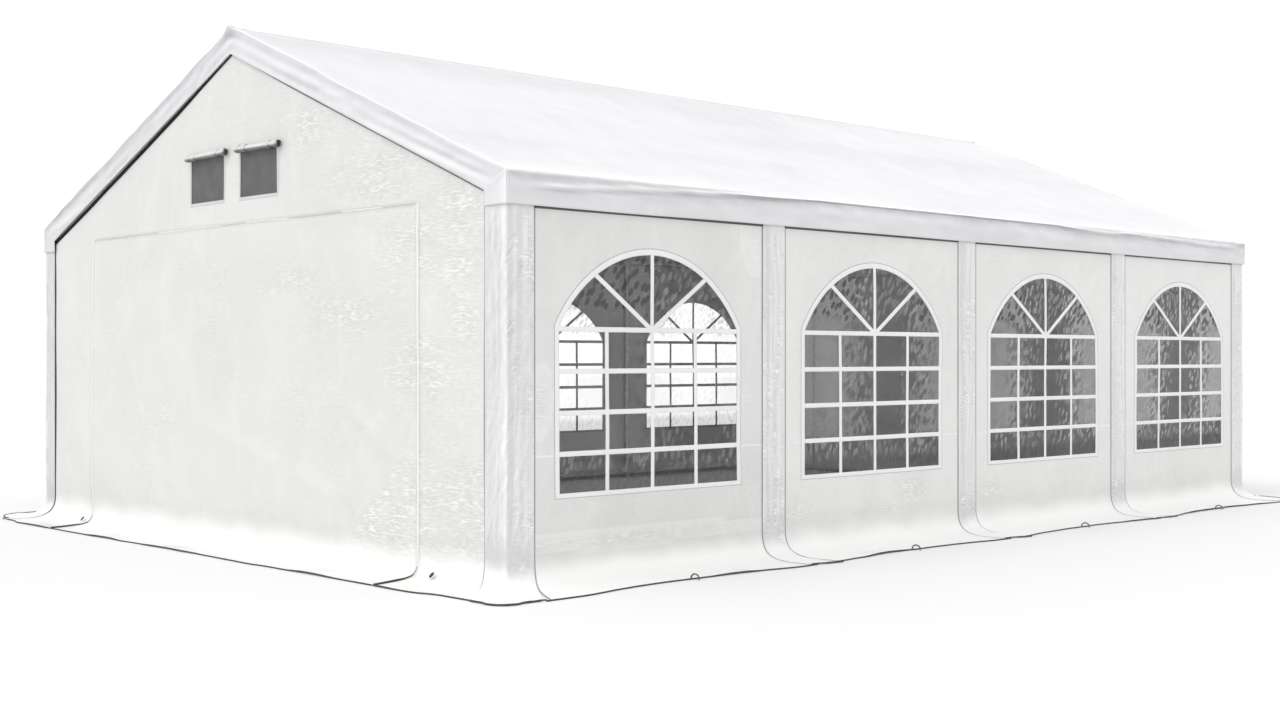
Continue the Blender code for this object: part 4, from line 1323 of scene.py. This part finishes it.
# Rows of each end of the roof sheet: five round its fold and twelve down its end face
END_ROWS = 17


def build_roof():
    """The roof sheet in one piece, with its folds and valances."""
    all_x, all_y, all_z, depth, across = roof_frame()
    size = np.abs(across)
    far = np.abs(all_y)
    side = np.sign(all_x)
    face = np.zeros((len(all_x), 1))
    face[:END_ROWS] = 1.0
    face[-END_ROWS:] = 1.0
    # Slopes: they sag between the arches and purlins
    slope_part = ramp(0.03, 0.25, size) * ramp(2.79, 2.60, size) * (1.0 - face)
    arches = np.abs(np.sin(np.pi * all_y / 2.0)) * ramp(ROOF_Y, 3.95, far)
    sag = -0.012 * arches * np.abs(np.sin(np.pi * size / PURLIN))
    ripple = 0.0060 * swell(across, all_y + 0.3 * across, 0.9, 0.35, 11)
    ripple = ripple + 0.0030 * swell(across, all_y - 0.2 * across, 0.5, 0.13, 12)
    lift = slope_part * (sag + ripple * (0.3 + 0.7 * arches))
    # Valance: waves along its hem, and a long fold that climbs from the near corner to the eave
    on_side = (size > 2.79).astype(float) * (1.0 - face)
    low = ramp(EAVE_Z, VALANCE_Z, all_z)
    wave = 0.0022 * swell(all_y, all_x, 0.45, 9.0, 13) + 0.0012 * swell(all_y, all_x, 0.14, 9.0, 14)
    crease_z = np.interp(
        all_y, (-3.9, -3.64, -3.12, -2.41, -1.57, 1.1, 1.37, 1.8, 2.17, 4.0),
        (2.035, 2.043, 2.068, 2.092, 2.110, 2.108, 2.095, 2.085, 2.095, 2.06))
    above = all_z - crease_z
    crease = (0.0085 * np.exp(-(above / 0.008) ** 2) - 0.002 * ramp(0.0, 0.02, above)) * ramp(4.02, 3.7, far)
    wrinkle = 0.0016 * swell(all_y, all_z, 0.05, 0.03, 15) * ramp(2.00, 2.10, all_z)
    wrinkle = wrinkle + 0.0022 * swell(all_y + 1.5 * all_z, all_z, 0.16, 0.06, 20) * ramp(1.95, 2.05, all_z)
    side_out = on_side * (0.0045 + (0.2 + 0.8 * low) * wave + crease + wrinkle)
    # Puckers that fan out of the corners
    from_corner = np.hypot(np.hypot(np.abs(all_x) - ROOF_X, far - ROOF_Y), all_z - EAVE_Z)
    fan = np.arctan2(size - 2.80, 0.03 + ROOF_Y - far + depth)
    pucker = 0.0018 * np.sin(fan * 8.0 + 2.5 * swell(fan, from_corner, 0.5, 0.2, 16))
    pucker = pucker * np.exp(-from_corner / 0.22) * ramp(0.0, 0.06, from_corner)
    # End faces: folds that run along the slope, wandering and breaking off
    strand = depth + 0.03 * swell(across, depth, 0.55, 9.0, 21)
    face_fold = 0.0042 * swell(strand, across, 0.035, 0.8, 17)
    face_fold = face_fold + 0.0016 * swell(across - depth, depth, 0.10, 0.05, 18)
    face_out = face * face_fold * ramp(0.0, 0.03, depth) * (0.12 + 0.88 * ramp(2.84, 2.62, size))
    # Rake: the edge dips and lifts in short scallops; a small peak at the ridge
    scallop = 0.009 * swell(across, all_y, 0.42, 9.0, 22) + 0.006 * swell(across, all_y, 0.13, 9.0, 23)
    scallop = scallop * ramp(3.85, ROOF_Y, far) * ramp(0.14, 0.0, depth) * ramp(2.78, 2.5, size)
    at_end = ramp(4.0, ROOF_Y, far)
    ends_up = 0.024 * at_end * np.exp(-(across / 0.03) ** 2) * ramp(0.03, 0.0, depth)
    ends_on = 0.022 * at_end * np.exp(-(across / 0.06) ** 2) * ramp(0.08, 0.0, depth)
    hem = 0.003 * swell(all_y, all_x, 0.8, 9.0, 19) * low * on_side
    top_lift = lift + pucker * (1.0 - face) * (1.0 - on_side) + scallop
    slope = math.atan(SLOPE)
    x = all_x + side * (math.sin(slope) * top_lift + side_out + on_side * pucker)
    z = all_z + math.cos(slope) * top_lift + hem + ends_up
    y = all_y + np.sign(all_y) * (ends_on + face_out + 0.3 * face * pucker * ramp(0.0, 0.03, depth))
    # Painted shade: the valances and the gable faces are a little darker, the left of each gable
    # face more so; broad streaks along the slopes and a narrow strip along the ridge are painted
    # darker too
    painted_shade = -0.12 * on_side * ramp(2.13, 2.08, all_z)
    painted_shade = painted_shade - (0.105 + 0.06 * ramp(0.1, -0.1, -all_x * np.sign(all_y))) * face * ramp(0.0, 0.02, depth)
    streak = ramp(-0.3, 0.8, swell(size + 0.07 * all_y, all_y, 0.33, 2.4, 24))
    streak = streak * (1.0 - 0.7 * ramp(1.7, 2.5, size))
    painted_shade = painted_shade - (0.08 * streak * slope_part + 0.10 * ramp(0.075, 0.045, size) * (1.0 - face))
    points = np.stack([x, y, z], axis=-1)
    uv = np.stack([across, all_y + np.sign(all_y) * depth], axis=-1)
    parts = [
        part(points[rows], uv[rows], facing, sheen=painted_shade[rows]) for rows, facing in (
            (slice(END_ROWS, -END_ROWS), (0.0, 0.0, 1.0)), (slice(END_ROWS + 1), (0.0, -1.0, 0.0)),
            (slice(-END_ROWS - 1, None), (0.0, 1.0, 0.0)))]
    roof = grids("roof_sheet", parts, ROOF_CLOTH, "roof_sheet", SHEET)
    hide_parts("roof_canopy")


def build_pegs(side, word):
    """A bent steel peg at each bay's skirt edge: a shank out of the ground and a hook over the
    sheet, a half circle with short straight ends."""
    turn = np.linspace(0.0, math.pi, 13)
    x = side * (WALL_X + SKIRT_REACH - PEG_INSET + PEG_BEND * (1.0 - np.cos(turn)))
    x = np.concatenate([[x[0]], x, [x[-1]]])
    z = np.concatenate([[0.004], 0.008 + 0.022 * np.sin(turn), [0.002]])
    parts = [tube(np.stack([x, np.full(15, centre), z], axis=-1), PEG_RADIUS) for centre in BAYS]
    grids(f"pegs_{word}", parts, PEG_STEEL, "steel_tube")


# Build

for side, word in SIDES:
    for bay in range(4):
        build_side_wall(side, word, bay)
        build_window(side, word, bay)
    for number in (1, 2, 3):
        build_mid_cover(side, word, number)
    build_corner_cover(side, -1, f"front_{word}")
    build_corner_cover(side, 1, f"back_{word}")
for side, word in ENDS:
    build_gable(side, word)
    build_slit_shadow_cords(side, word)
    build_vents(side, word)
    build_eyelets(side, word)
# Painted shadow under each skirt's edge: dark cords along it
for word, parts in SKIRT_SHADOW_CORDS.items():
    grids(f"painted_skirt_shadow_{word}", parts, PAINTED_SHADOW_LINES, "wall_sheet")
for side, word in SIDES:
    build_side_shadow_strips(side, word)
for end, word in ENDS:
    build_gable_shadow_strips(end, word)
build_roof()
for side, word in SIDES:
    build_pegs(side, word)

for name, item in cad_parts.items():
    if name.startswith(("leg_", "roof_arch_", "ridge_", "purlin_", "eave_", "base_")):
        item.data.materials.clear()
        item.data.materials.append(STEEL)


# Setting

def build_floor():
    """A wide pale floor."""
    mesh = bpy.data.meshes.new("floor")
    reach = 60.0
    corners = [(x * reach, y * reach, 0.0) for x, y in ((-1, -1), (1, -1), (1, 1), (-1, 1))]
    mesh.from_pydata(corners, [], [(0, 1, 2, 3)])
    floor = bpy.data.objects.new("floor", mesh)
    bpy.context.scene.collection.objects.link(floor)
    material, s = new_finish("pale_floor")
    s.result(Base_Color=(0.9, 0.9, 0.9, 1.0), Roughness=0.9)
    mesh.materials.append(material)


def build_light():
    """White surroundings, dimmer behind the camera's right and high on the left, and a large soft
    lamp from the front and above."""
    world = bpy.data.worlds.new("studio")
    bpy.context.scene.world = world
    world.use_nodes = True
    s = Shader(world.node_tree, world.node_tree.nodes["Background"])
    way = s.node("TexCoord", "Generated")
    toward = s.vector("DOT_PRODUCT", way, (0.85, -0.35, -0.1), out="Value")
    over = s.vector("DOT_PRODUCT", way, (-0.8, 0.0, 0.6), out="Value")
    level = s.spread(toward, -0.05, 0.75, 1.12, 0.83) - s.spread(over, 0.3, 0.95, 0.0, 0.28)
    seen = s.node("LightPath", "Is Camera Ray") * 1.12
    s.result(Color=(1.0, 1.0, 1.0, 1.0), Strength=level.at_least(seen))
    lamp = bpy.data.lights.new("key", "SUN")
    lamp.energy = 0.80
    lamp.angle = math.radians(30.0)
    item = bpy.data.objects.new("key", lamp)
    item.rotation_euler = (math.radians(36.0), 0.0, math.radians(-6.0))
    bpy.context.scene.collection.objects.link(item)


def build_camera():
    """The camera at the picture's place, level, with its axis left of the picture's middle."""
    lens = bpy.data.cameras.new("camera")
    lens.sensor_width = 36.0
    lens.lens = 36.0 * FOCAL_PIXELS / PICTURE_WIDTH
    lens.shift_x = SHIFT_PIXELS / PICTURE_WIDTH
    lens.clip_end = 200.0
    camera = bpy.data.objects.new("camera", lens)
    camera.location = (8.629, -9.416, 1.178)
    camera.rotation_euler = (math.radians(90.0), 0.0, math.radians(48.81))
    bpy.context.scene.collection.objects.link(camera)
    bpy.context.scene.camera = camera


build_floor()
build_light()
build_camera()
bpy.context.scene.view_settings.view_transform = "Standard"
